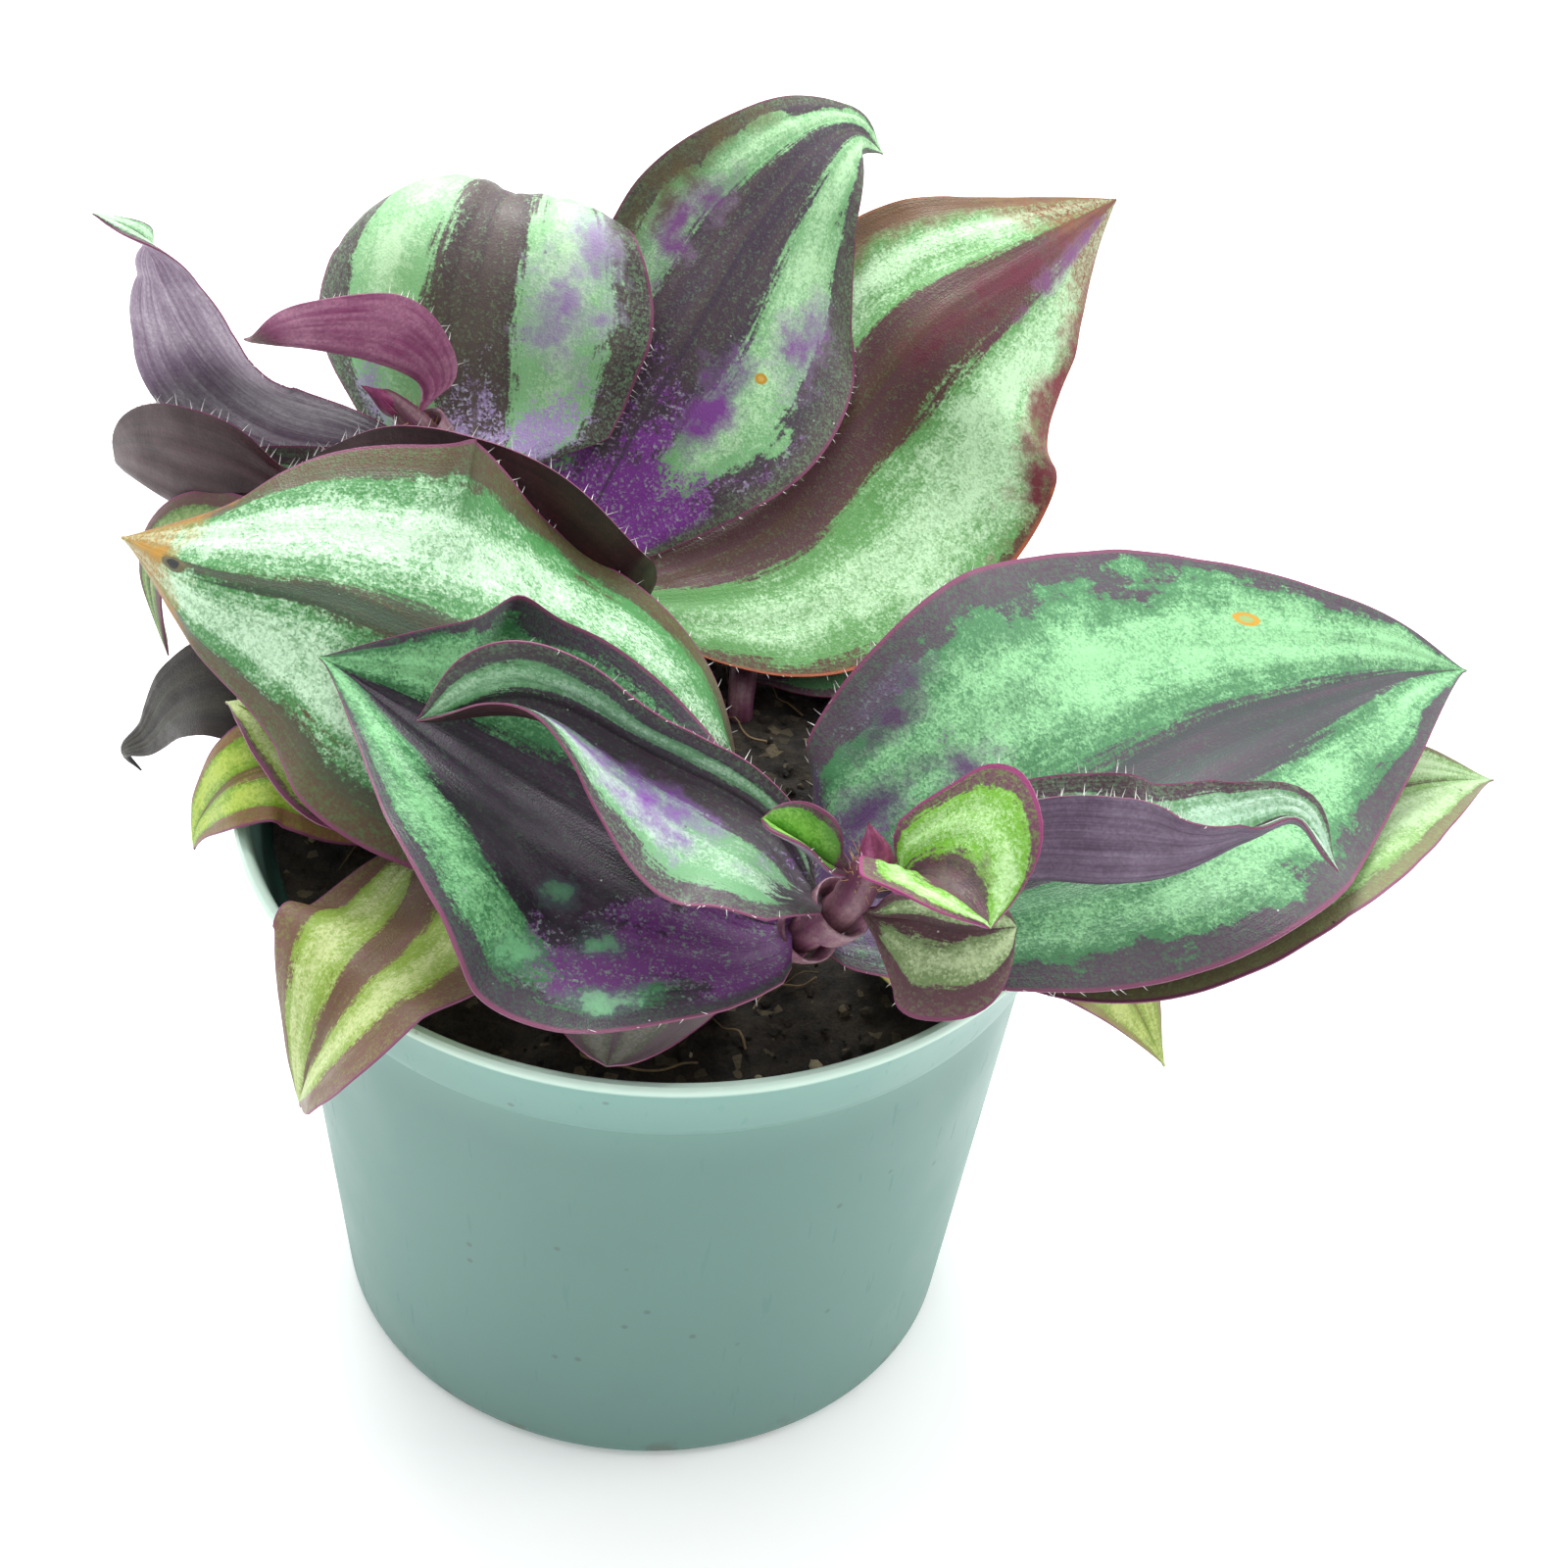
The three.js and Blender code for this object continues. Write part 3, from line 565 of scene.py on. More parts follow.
def round_rod(name, points, thickness, sides=12, rows=60):
    """A round rod in metres along points in millimetres. thickness(v) is its radius in millimetres."""
    levels = np.concatenate([[0], np.linspace(0, 1, rows - 1), [1]])
    middle, way, _ = even_steps(points, levels)
    cross = unit(np.cross(way, [0.31, 0.87, 0.39]))
    for k in range(1, len(levels)):
        carried = cross[k - 1] - way[k] * (cross[k - 1] @ way[k])
        cross[k] = unit(carried)
    other = np.cross(way, cross)
    radius = np.array([thickness(v) for v in levels])
    radius[[0, -1]] = 0

    def place(u, v):
        k = np.rint(v * rows).astype(int)
        turn = 2 * np.pi * u
        ring = cross[k] * np.cos(turn)[:, None] + other[k] * np.sin(turn)[:, None]
        return (middle[k] + ring * radius[k][:, None]) * MM

    rod = shaped(name, sides, rows, place)
    close_seams(rod)
    return rod


fibre_pieces = []
for number in range(fibre_count):
    start = open_peat(0.9) / MM
    turn = peat_draw.random() * 6.3
    points = []
    for step in range(6):
        x, y = start[0], start[1]
        if math.hypot(x, y) > peat_edge - 1.2:
            break
        lift = 0.25 + 0.9 * math.sin(step * 1.9 + number) ** 2
        points.append((x, y, peat_height(x * MM, y * MM) / MM + lift))
        turn += (peat_draw.random() - 0.5) * 1.5
        reach = 1.0 + 1.6 * peat_draw.random()
        start = (x + math.cos(turn) * reach, y + math.sin(turn) * reach)
    if len(points) > 2:
        thick = 0.07 + 0.09 * peat_draw.random()
        fibre_pieces.append(
            round_rod(f"fibre_{number}", points, lambda v: thick * (1.02 - v) + 0.03, 5, 14)
        )
root_curl = [
    (-3.9, -36.2, 63.4), (-5.3, -37.2, 64.4), (-5.0, -38.9, 65.2), (-2.6, -39.6, 65.4),
    (0.2, -39.9, 65.0), (2.6, -39.3, 64.6), (4.5, -38.0, 64.4), (6.0, -37.5, 64.2),
]
fibre_pieces.append(round_rod("root_curl", root_curl, lambda v: 0.17 - 0.06 * v, 8, 60))


def gathered(name, parts):
    """Joins the parts into one piece."""
    bpy.ops.object.select_all(action="DESELECT")
    for part in parts:
        part.select_set(True)
    bpy.context.view_layer.objects.active = parts[0]
    if len(parts) > 1:
        bpy.ops.object.join()
    parts[0].name = name
    parts[0].data.name = name
    return parts[0]


fibres = gathered("root_fibres", fibre_pieces)
fibres.data.materials.append(
    cloudy_finish("root_fibre", (64, 50, 34), (150, 126, 88), scale=700.0, dullness=0.8, depth=0.0001)
)
shade_round(fibres, 60.0)
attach(fibres, "root")

# ---- Stems ---------------------------------------------------------------------------
# Five soft, juicy stems stand in the peat and lean outwards. They are flushed with
# purple, a little swollen at each node, and each tapers to a soft end.
stems = {
    "stem_front": {
        "radius": 1.9, "tip": 1.4,
        "points": [
            (10, -6, 56), (10, -6, 61), (10, -6.5, 66), (10.6, -12, 70), (12, -20, 72.3),
            (12.6, -28, 74.5), (15, -34, 79), (19, -36.5, 85.5), (21.3, -37.2, 92),
        ],
        "nodes": (71.2, 75.3, 79.5, 83.6, 87.2),
    },
    "stem_rear": {
        "radius": 1.9, "tip": 4.0,
        "points": [
            (-4, 18, 56), (-4, 18, 60), (-4, 18, 65.3), (-9, 20, 70), (-16, 22, 79),
            (-24, 24, 87), (-30, 24, 95),
        ],
        "nodes": (68.5, 73.3, 77.0, 82.0, 87.0, 92.0),
    },
    "stem_left": {
        "radius": 1.5, "tip": 1.6,
        "points": [
            (-16, -10, 56), (-16, -10, 60), (-16, -10, 65.3), (-17.6, -11.2, 67.4), (-20, -13, 69),
            (-24, -15, 74), (-26, -16, 78),
        ],
        "nodes": (66.3, 68.2, 72.0, 75.0),
    },
    "stem_right": {
        "radius": 1.5, "tip": 2.4,
        "points": [(20, -10, 56), (20, -10, 61), (20, -10, 65.5), (22, -13, 70), (23.5, -15, 75)],
        "nodes": (67.3, 69.0, 72.5),
    },
    "stem_far": {
        "radius": 1.5, "tip": 3.0,
        "points": [
            (7, 17, 56), (7, 17, 61), (7, 17.2, 65.3), (7, 23, 68.2), (6, 30, 70), (5, 35, 71.5),
        ],
        "nodes": (66.8, 68.8, 70.9),
    },
}


def group_of(name, colours, numbers, shades):
    """An empty shader node group, with the colours and numbers it takes and what it gives."""
    tree = bpy.data.node_groups.new(name, "ShaderNodeTree")
    for labels, way, kind in (
        (colours, "INPUT", "NodeSocketColor"), (numbers, "INPUT", "NodeSocketFloat"),
        (("Colour",), "OUTPUT", "NodeSocketColor"), (shades, "OUTPUT", "NodeSocketFloat"),
    ):
        for label in labels:
            tree.interface.new_socket(name=label, in_out=way, socket_type=kind)
    return tree, tree.nodes.new("NodeGroupInput").outputs, tree.nodes.new("NodeGroupOutput").inputs


def place_group(tree, group, **inputs):
    """Sets a node group in a material, with its own values."""
    made = tree.nodes.new("ShaderNodeGroup")
    made.node_tree = group
    return fit_all(made, **inputs)


def point_of(x, y=0.0, z=0.0):
    """A point in a shader tree, from its three numbers."""
    return put(x.id_data, "CombineXYZ", X=x, Y=y, Z=z).outputs[0]


skin_group, skin_in, skin_out = group_of(
    "soft_plant_skin", ("Pale", "Deep", "Vein"), ("Lines",), ("Height", "Dullness")
)
skin_uv = put(skin_group, "UVMap").outputs[0]
skin_points = own_points(skin_group)
skin_axes = put(skin_group, "SeparateXYZ", Vector=skin_uv).outputs
skin_way = point_of(times(skin_axes[0], skin_in["Lines"]), times(skin_axes[1], 2.5))
skin_streak = rough_cloud(skin_way, 1.0)
skin_blotch = rough_cloud(skin_points, 170.0, 4.0)
skin_share = ramp(plus(skin_streak, times(skin_blotch, 0.8)), 0.65, 1.15)
skin_mix = blend(skin_share, skin_in["Pale"], skin_in["Deep"])
skin_distance, skin_luck = cells(skin_points, 3400.0)
skin_mix = blend(ramp(skin_luck[0], 0.0, 1.0, 0.0, 0.35), skin_mix, skin_in["Vein"])
fit(skin_out["Colour"], skin_mix)
fit(skin_out["Height"], plus(times(skin_streak, 0.5), times(skin_distance, 0.35)))
fit(skin_out["Dullness"], ramp(skin_blotch, 0.3, 0.7, 0.38, 0.58))


def skin_finish(name, pale, deep, vein, lines):
    """The finish of a stem, a sheath or the underside of a leaf."""
    finish, tree, shader = new_finish(name)
    skin = place_group(tree, skin_group, Pale=pale, Deep=deep, Vein=vein, Lines=lines)
    fit_all(shader, Base_Color=skin.outputs["Colour"], Roughness=skin.outputs["Dullness"])
    emboss(shader, skin.outputs["Height"], strength=0.45, depth=0.00012)
    return finish


stem_finish = skin_finish("juicy_stem", (148, 112, 118), (104, 44, 78), (70, 34, 56), 9.0)
for stem_name, stem in stems.items():
    stem_points = stem["points"]
    stem_end = np.array(stem_points[-1], float)
    stem_aim = unit(stem_end - np.array(stem_points[-2], float))
    stem_line = [*stem_points, tuple(stem_end + stem_aim * stem["tip"])]
    stem_trail, _, stem_length = even_steps(stem_line, np.linspace(0, 1, 400))

    def stem_thickness(v):
        radius = stem["radius"]
        here = stem_trail[int(round(v * 399))]
        swelling = sum(0.1 * math.exp(-(((here[2] - z) / 0.8) ** 2)) for z in stem["nodes"])
        left = (1 - v) * stem_length
        return radius * (0.93 + swelling) * min(1.0, (left / (stem["tip"] + 1.2)) ** 0.6)

    rod = round_rod(stem_name + "_rod", stem_line, stem_thickness, 20, 110)
    shade_round(rod, 70.0)
    rod.data.materials.append(stem_finish)
    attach(rod, "root")
    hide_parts(stem_name)

# ---- Leaves of the front shoot -------------------------------------------------------
# The front shoot lies over the rim, with its largest leaves first and small ones at its
# tip. Each is a fleshy blade whose foot wraps the stem. Air under its skin makes two
# silver stripes, and what lies between them is purple.
stripes_group, stripes_in, stripes_out = group_of(
    "silver_stripes",
    ("Silver", "Green", "Band", "Violet", "Edge", "Line", "Tip"),
    (
        "Left Inner", "Left Outer", "Right Inner", "Right Outer", "Open", "Close", "Tip From",
        "Blotches", "Blotch Fade", "Line Width", "Ragged", "Seed",
    ),
    ("Height", "Dullness"),
)
leaf_uv = put(stripes_group, "UVMap").outputs[0]
leaf_points = own_points(stripes_group)
leaf_axes = put(stripes_group, "SeparateXYZ", Vector=leaf_uv).outputs
leaf_v = leaf_axes[1]
leaf_side = minus(times(leaf_axes[0], 2.0), 1.0)
leaf_out = calc("ABSOLUTE", leaf_side)

leaf_seed = stripes_in["Seed"]


def vein_cloud(across, along, detail):
    """A cloud drawn out along the veins, with that many lumps to a half and to a length."""
    place = point_of(times(leaf_side, across), times(leaf_v, along), leaf_seed)
    return rough_cloud(place, 1.0, detail, 0.6)


# The clouds: two along the veins, three on the skin, and a fine grain in small cells.
leaf_streak = vein_cloud(across=9.0, along=4.0, detail=4.0)
leaf_fine = vein_cloud(across=46.0, along=9.0, detail=3.0)
wander = plus(times(minus(leaf_streak, 0.5), 0.30), times(minus(leaf_fine, 0.5), 0.14))
broad_cloud = rough_cloud(leaf_points, 320.0, 4.0, 0.6)
ragged_cloud = rough_cloud(leaf_points, 130.0, 5.0, 0.65)
ragged = times(minus(ragged_cloud, 0.5), stripes_in["Ragged"])
grain_distance, grain_luck = cells(leaf_points, 4200.0)
grain_cloud = rough_cloud(leaf_points, 1500.0, 4.0, 0.7)
speckle = plus(times(grain_luck[0], 0.34), times(leaf_fine, 0.22), times(grain_cloud, 0.60))
speckle = minus(speckle, 0.58)

# Where the silver lies: between the band along the rib and the margin, on each half.
on_right = calc("GREATER_THAN", leaf_side, 0.0)
silver_from, silver_to = (
    ramp(on_right, 0.0, 1.0, stripes_in["Left " + limit], stripes_in["Right " + limit], smooth=False)
    for limit in ("Inner", "Outer")
)
band_closing = stripes_in["Close"]
band_narrowing = ramp(leaf_v, minus(band_closing, 0.5), band_closing, 1.0, 0.0, smooth=False)
silver_from = times(silver_from, calc("POWER", band_narrowing, 0.7))
from_band = minus(plus(leaf_out, wander), silver_from)
to_margin = minus(silver_to, plus(leaf_out, ragged, wander))
opening = ramp(plus(leaf_v, times(wander, 0.6)), times(stripes_in["Open"], 0.2), stripes_in["Open"])
silver_zone = times(opening, times(ramp(from_band, -0.06, 0.11), ramp(to_margin, -0.06, 0.11)))
silver_mask = ramp(plus(silver_zone, times(speckle, 0.9)), 0.22, 0.72)

# Where the violet patches lie, and how light the silver is at each point.
blotch_place = put(stripes_group, "VectorMath", {"operation": "ADD"}, Vector=leaf_points)
fit(blotch_place.inputs[1], point_of(leaf_seed))
blotch_cloud = rough_cloud(blotch_place.outputs[0], 105.0, 5.0, 0.62)
blotch_value = plus(times(speckle, 0.30), plus(times(blotch_cloud, 0.85), 0.075))
blotch_edge = plus(
    minus(0.78, times(stripes_in["Blotches"], 0.5)), times(leaf_v, stripes_in["Blotch Fade"])
)
blotch_mask = ramp(minus(blotch_value, blotch_edge), -0.03, 0.05)
deep_inside = ramp(calc("MINIMUM", from_band, to_margin), -0.04, 0.30)
patchy_light = plus(times(minus(blotch_cloud, 0.5), 1.3), ramp(leaf_v, 0.05, 0.55, -0.22, 0.08))
silver_light = plus(
    times(deep_inside, 0.75), patchy_light, plus(times(speckle, 1.6), times(broad_cloud, 0.8))
)

# The colours, laid one over the other from the silver to the dust.
silver_shade = blend(ramp(silver_light, 0.45, 1.55), stripes_in["Green"], stripes_in["Silver"])
band_shade = blend(ramp(leaf_streak, 0.3, 0.75), stripes_in["Band"], stripes_in["Edge"])
band_shade = blend(ramp(speckle, 0.02, 0.30, 0.0, 0.30), band_shade, stripes_in["Green"])
margin_shade = blend(ramp(speckle, -0.15, 0.30, 0.0, 0.45), stripes_in["Edge"], stripes_in["Green"])
band_shade = blend(ramp(leaf_out, 0.7, 0.95), band_shade, margin_shade)
violet_shade = blend(ramp(speckle, 0.05, 0.30, 0.0, 0.5), stripes_in["Violet"], stripes_in["Silver"])
leaf_mix = blend(silver_mask, band_shade, silver_shade)
leaf_mix = blend(times(blotch_mask, ramp(leaf_out, 0.93, 0.78)), leaf_mix, violet_shade)
tip_from = stripes_in["Tip From"]
tip_place = plus(leaf_v, times(leaf_out, 0.05), times(minus(broad_cloud, 0.5), 0.16))
tip_share = times(
    ramp(tip_place, tip_from, plus(tip_from, 0.06)), ramp(speckle, -0.25, 0.15, 1.0, 0.55)
)
leaf_mix = blend(tip_share, leaf_mix, stripes_in["Tip"])
# A thin dark line along the rib: partly the band's own colour, partly painted shade in the rib's groove.
leaf_mix = blend(ramp(leaf_out, 0.008, 0.03, 0.75, 0.0), leaf_mix, stripes_in["Band"])
line_start = minus(1.0, stripes_in["Line Width"])
leaf_mix = blend(ramp(leaf_out, minus(line_start, 0.02), line_start), leaf_mix, stripes_in["Line"])
dirt = flecks(leaf_points, scale=230.0, middle=0.03, rim=0.07, strength=0.8, rare=0.84, draw=1)
leaf_mix = blend(dirt, leaf_mix, (52, 44, 40))
dust = flecks(leaf_points, scale=520.0, middle=0.03, rim=0.08, strength=0.75, rare=0.90, draw=2)
leaf_mix = blend(dust, leaf_mix, (224, 232, 222))
fit(stripes_out["Colour"], leaf_mix)
fit(stripes_out["Height"], plus(times(leaf_fine, 0.7), times(grain_distance, 0.35)))
fit(stripes_out["Dullness"], ramp(broad_cloud, 0.3, 0.7, 0.34, 0.55))

mark_group, mark_in, mark_out = group_of(
    "round_mark", ("Colour", "Ring", "Middle"),
    ("Across", "Along", "Width", "Length", "Size", "Soft"), (),
)
mark_uv = put(mark_group, "UVMap").outputs[0]
mark_axes = put(mark_group, "SeparateXYZ", Vector=mark_uv).outputs
mark_points = own_points(mark_group)
mark_reach = point_of(
    times(minus(mark_axes[0], mark_in["Across"]), mark_in["Width"]),
    times(minus(mark_axes[1], mark_in["Along"]), mark_in["Length"]),
)
mark_distance = put(mark_group, "VectorMath", {"operation": "LENGTH"}, Vector=mark_reach).outputs["Value"]
mark_distance = calc("DIVIDE", mark_distance, mark_in["Size"])
mark_fray = times(mark_in["Soft"], minus(rough_cloud(mark_points, 260.0, 5.0, 0.65), 0.5))
mark_distance = plus(
    times(rough_cloud(mark_points, 900.0, 5.0, 0.7), 0.6), plus(mark_distance, mark_fray)
)
mark_shade = blend(ramp(mark_distance, 0.75, 0.95), mark_in["Middle"], mark_in["Ring"])
mark_share = ramp(
    minus(mark_distance, 1.3), times(mark_in["Soft"], -0.35), 0.08, 1.0, 0.0, smooth=False
)
fit(mark_out["Colour"], blend(mark_share, mark_in["Colour"], mark_shade))

silver_mint = (196, 240, 196)
leaf_green = (92, 156, 98)
purple_grey = (70, 62, 70)
bright_violet = (138, 92, 162)
brown_purple = (82, 60, 70)
magenta_line = (128, 66, 98)


def leaf_finish(name, left=(0.12, 0.8), right=(0.12, 0.8), opens=0.12, closes=0.95, silver=silver_mint,
                green=leaf_green, band=purple_grey, violet=bright_violet, edge=brown_purple,
                line=magenta_line, tip=None, tip_from=2.0, blotches=0.3, fade=0.25,
                line_width=0.010, ragged=0.25, seed=0.0, marks=(), size=(40.0, 70.0)):
    """The upper side of one leaf, with where its silver stripes start and end on each half.

    A mark is (across, along, spread in millimetres, stretch, ring colour, middle colour) on a
    blade of that size. A wide mark has a frayed edge, and a small one is a clean ring.
    """
    finish, tree, shader = new_finish(name)
    made = place_group(
        tree, stripes_group, Left_Inner=left[0], Left_Outer=left[1], Right_Inner=right[0],
        Right_Outer=right[1], Open=opens, Close=closes, Silver=silver, Green=green, Band=band,
        Violet=violet, Edge=edge, Line=line, Tip=tip or silver, Tip_From=tip_from, Blotches=blotches,
        Blotch_Fade=fade, Line_Width=line_width, Ragged=ragged, Seed=seed,
    )
    shade = made.outputs["Colour"]
    for across, along, spread, stretch, ring, middle in marks:
        mark = place_group(
            tree, mark_group, Colour=shade, Across=across, Along=along, Size=spread, Width=size[0],
            Length=size[1] / stretch, Ring=ring, Middle=middle, Soft=2.8 if spread > 2 else 0.1,
        )
        shade = mark.outputs["Colour"]
    fit_all(shader, Base_Color=shade, Roughness=made.outputs["Dullness"], Specular_IOR_Level=0.4)
    emboss(shader, made.outputs["Height"], strength=0.6, depth=0.00014)
    return finish


under_purple = skin_finish("purple_underside", (112, 78, 104), (74, 40, 64), (54, 28, 46), 34.0)
under_lilac = skin_finish("lilac_underside", (182, 166, 184), (130, 106, 134), (92, 66, 94), 40.0)
under_dusk = skin_finish("dusky_underside", (128, 110, 134), (84, 62, 88), (56, 36, 58), 40.0)
under_maroon = skin_finish("maroon_underside", (72, 34, 42), (44, 18, 26), (30, 12, 18), 36.0)
under_green = skin_finish("green_underside", (170, 186, 120), (132, 104, 96), (110, 70, 84), 28.0)
sheath_finish = skin_finish("leaf_sheath", (160, 128, 134), (118, 58, 92), (88, 38, 68), 16.0)

blade_thickness = 0.62
edge_share = 0.3
row_step = 0.6
column_step = 0.75
rib_groove = 0.28
margin_ripple = 0.35


def half_width(v, outline, full):
    """Half the width of a blade, from 0 at the base to 1 at the tip."""
    widest, base, tip = outline
    rise = base + (1 - base) * np.sin(np.pi / 2 * np.clip(v / widest, 0, 1)) ** 0.9
    fall = np.cos(np.pi / 2 * np.clip((v - widest) / (1 - widest), 0, 1)) ** tip
    lobe = np.clip((v + 0.008) / 0.06, 0, 1) ** 0.5
    return np.maximum(full / 2 * lobe * np.where(v < widest, rise, fall), 0.12)


def leaf_foot(stem_name, at):
    """The stem's middle and direction at that height."""
    line = stems[stem_name]["points"]
    t = np.arange(0, 1.0001, 0.002)
    trail = smooth_line(line, t)
    first = int(np.argmax(trail[:, 2] >= at))
    way = unit(smooth_line(line, t[first] + 1e-4)[0] - smooth_line(line, t[first] - 1e-4)[0])
    return trail[first], way


def blade_sheet(stem_name, at, width, rib, face, left, right, sleeve=0.0, left_outline=(0.38, 0.14, 1.15),
                right_outline=(0.38, 0.14, 1.15), left_share=1.0, right_share=1.0, left_bend=0.0,
                right_bend=0.0, lead=None, waves=(), fold=0.16, pleats=0.10, seed=1.0):
    """The middle sheet of a blade, as rows of points from its left margin to its right one.

    Sizes are in millimetres and angles in degrees. left and right lift the halves, share
    makes a half narrower, bend curls it, and a wave is (side, place, span, height).
    """
    centre, stem_way = leaf_foot(stem_name, at)
    radius = stems[stem_name]["radius"]
    away = np.array(rib[0], float) - centre
    away = unit(away - stem_way * (away @ stem_way))
    if lead is None:
        lead = 0.5 if sleeve else 0.45
    line = [tuple(centre + away * (radius + 0.35 + lead)), *rib]
    length = even_steps(line, np.zeros(1))[2]
    rows = max(24, int(length / row_step))
    half_columns = max(6, int(width / 2 / column_step))
    v = np.linspace(0, 1, rows + 1)
    middle, way, _ = even_steps(line, v)
    up = smooth_line(face, v)
    up = unit(up - way * np.sum(up * way, 1, keepdims=True))
    across = np.cross(way, up)
    sheet = np.zeros((rows + 1, 2 * half_columns + 1, 3))
    sheet[:, half_columns] = middle
    for side, lifts, outline, share, bend in (
        (-1, left, left_outline, left_share, left_bend), (1, right, right_outline, right_share, right_bend),
    ):
        lift = smooth_line(lifts, v)[:, 0]
        bends = smooth_line(bend, v)[:, 0] if np.ndim(bend) else bend
        step = half_width(v, outline, width * share) / half_columns
        place = middle.copy()
        for k in range(1, half_columns + 1):
            out = (k - 0.5) / half_columns
            eased = min(1.0, out / fold) ** 0.8 if fold else 1.0
            angle = np.radians(lift * eased + bends * out)
            place = place + side * (step * np.cos(angle))[:, None] * across
            place = place + (step * np.sin(angle))[:, None] * up
            sheet[:, half_columns + side * k] = place
    x = np.linspace(-1, 1, 2 * half_columns + 1)
    raised = np.zeros((rows + 1, 2 * half_columns + 1))
    for wave_side, wave_at, wave_span, wave_high in waves:
        hump = wave_high * np.exp(-(((v - wave_at) / wave_span) ** 2))[:, None]
        raised += hump * np.clip(x * wave_side, 0, 1)[None, :] ** 2
    sheet += raised[:, :, None] * up[:, None, :]
    sheet -= away * ((lead + 0.7) * np.clip(1 - v / 0.05, 0, 1) ** 2)[:, None, None]
    facing = unit(np.cross(np.gradient(sheet, axis=1), np.gradient(sheet, axis=0)))
    envelope = np.clip(np.minimum(v / 0.12, (1 - v) / 0.18), 0, 1)[:, None]
    fine = -rib_groove * np.exp(-((x / 0.045) ** 2))[None, :] * envelope
    fine += pleats * (np.cos(x * 2 * np.pi * 4.0) * (1 - np.abs(x) ** 3))[None, :] * envelope
    for i in range(rows + 1):
        for side, half in ((-1, slice(0, half_columns)), (1, slice(half_columns + 1, None))):
            bump = noise.noise(Vector((v[i] * length * 0.11, side * 3.7, seed * 5.3)))
            bump += 0.5 * noise.noise(Vector((v[i] * length * 0.29, side * 9.1, seed * 3.1)))
            fine[i, half] += margin_ripple * bump * np.abs(x[half]) ** 2.5 * envelope[i, 0]
    sheet += facing * fine[:, :, None]
    return sheet, facing, length, centre, stem_way, away


leaf_edges = {}


def grow_leaf(name, stem_name, at, top, under, slot="leaf", sleeve=0.0, **form):
    """One leaf: its blade with a thin edge, and the cuff where its foot wraps the stem."""
    finish = leaf_finish(name + "_top", **top)
    sheet, facing, length, centre, stem_way, away = blade_sheet(stem_name, at, sleeve=sleeve, **form)
    rows, columns = sheet.shape[0] - 1, sheet.shape[1] - 1

    def place_blade(u, w):
        return sheet[np.rint(w * rows).astype(int), np.rint(u * columns).astype(int)] * MM

    blade = shaped(name + "_blade", columns, rows, place_blade)
    for skin_side in (finish, under, sheath_finish):
        blade.data.materials.append(skin_side)
    fleshy = blade.vertex_groups.new(name="fleshy")
    places = {}
    for loop, corner in zip(blade.data.loops, blade.data.uv_layers[0].data):
        places[loop.vertex_index] = tuple(corner.uv)
    for index, (u, w) in places.items():
        weight = (1 - abs(2 * u - 1) ** 5) * min(1.0, (1 - w) / 0.04)
        fleshy.add([index], weight, "REPLACE")
    skin = blade.modifiers.new("two_skins", "SOLIDIFY")
    skin.thickness = blade_thickness * MM
    skin.offset = 0.0
    skin.vertex_group = "fleshy"
    skin.thickness_vertex_group = edge_share
    skin.material_offset = 1
    skin.use_rim = True
    only(blade)
    bpy.ops.object.modifier_apply(modifier="two_skins")
    shade_round(blade, 50.0)
    pieces = [blade]
    if sleeve:
        radius = stems[stem_name]["radius"]
        low, high = -sleeve / 2, sleeve / 2
        ring = np.array([
            (radius + 0.5, low), (radius + 0.75, low), (radius + 1.05, low + 0.25 * sleeve),
            (radius + 1.25, high - 0.25 * sleeve), (radius + 1.3, high - 0.1), (radius + 1.15, high),
            (radius + 0.95, high - 0.15), (radius + 0.6, low + 0.5 * sleeve), (radius + 0.5, low),
        ])
        other_way = np.cross(stem_way, away)

        def place_sleeve(u, w):
            k = np.rint(w * (len(ring) - 1)).astype(int)
            turn = 2 * np.pi * u
            reach = away * np.cos(turn)[:, None] + other_way * np.sin(turn)[:, None]
            rise = ring[k, 1] + 0.12 * np.cos(turn) * (ring[k, 1] > 0)
            return (centre + reach * ring[k, 0][:, None] + stem_way * rise[:, None]) * MM

        cuff = shaped(name + "_cuff", 32, len(ring) - 1, place_sleeve)
        close_seams(cuff)
        shade_round(cuff, 60.0)
        for skin_side in (finish, under, sheath_finish):
            cuff.data.materials.append(skin_side)
        for patch in cuff.data.polygons:
            patch.material_index = 2
        pieces.append(cuff)
    leaf = gathered(name + "_blade", pieces)
    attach(leaf, "root")
    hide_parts(name)
    leaf_edges[name] = (sheet, facing, length)


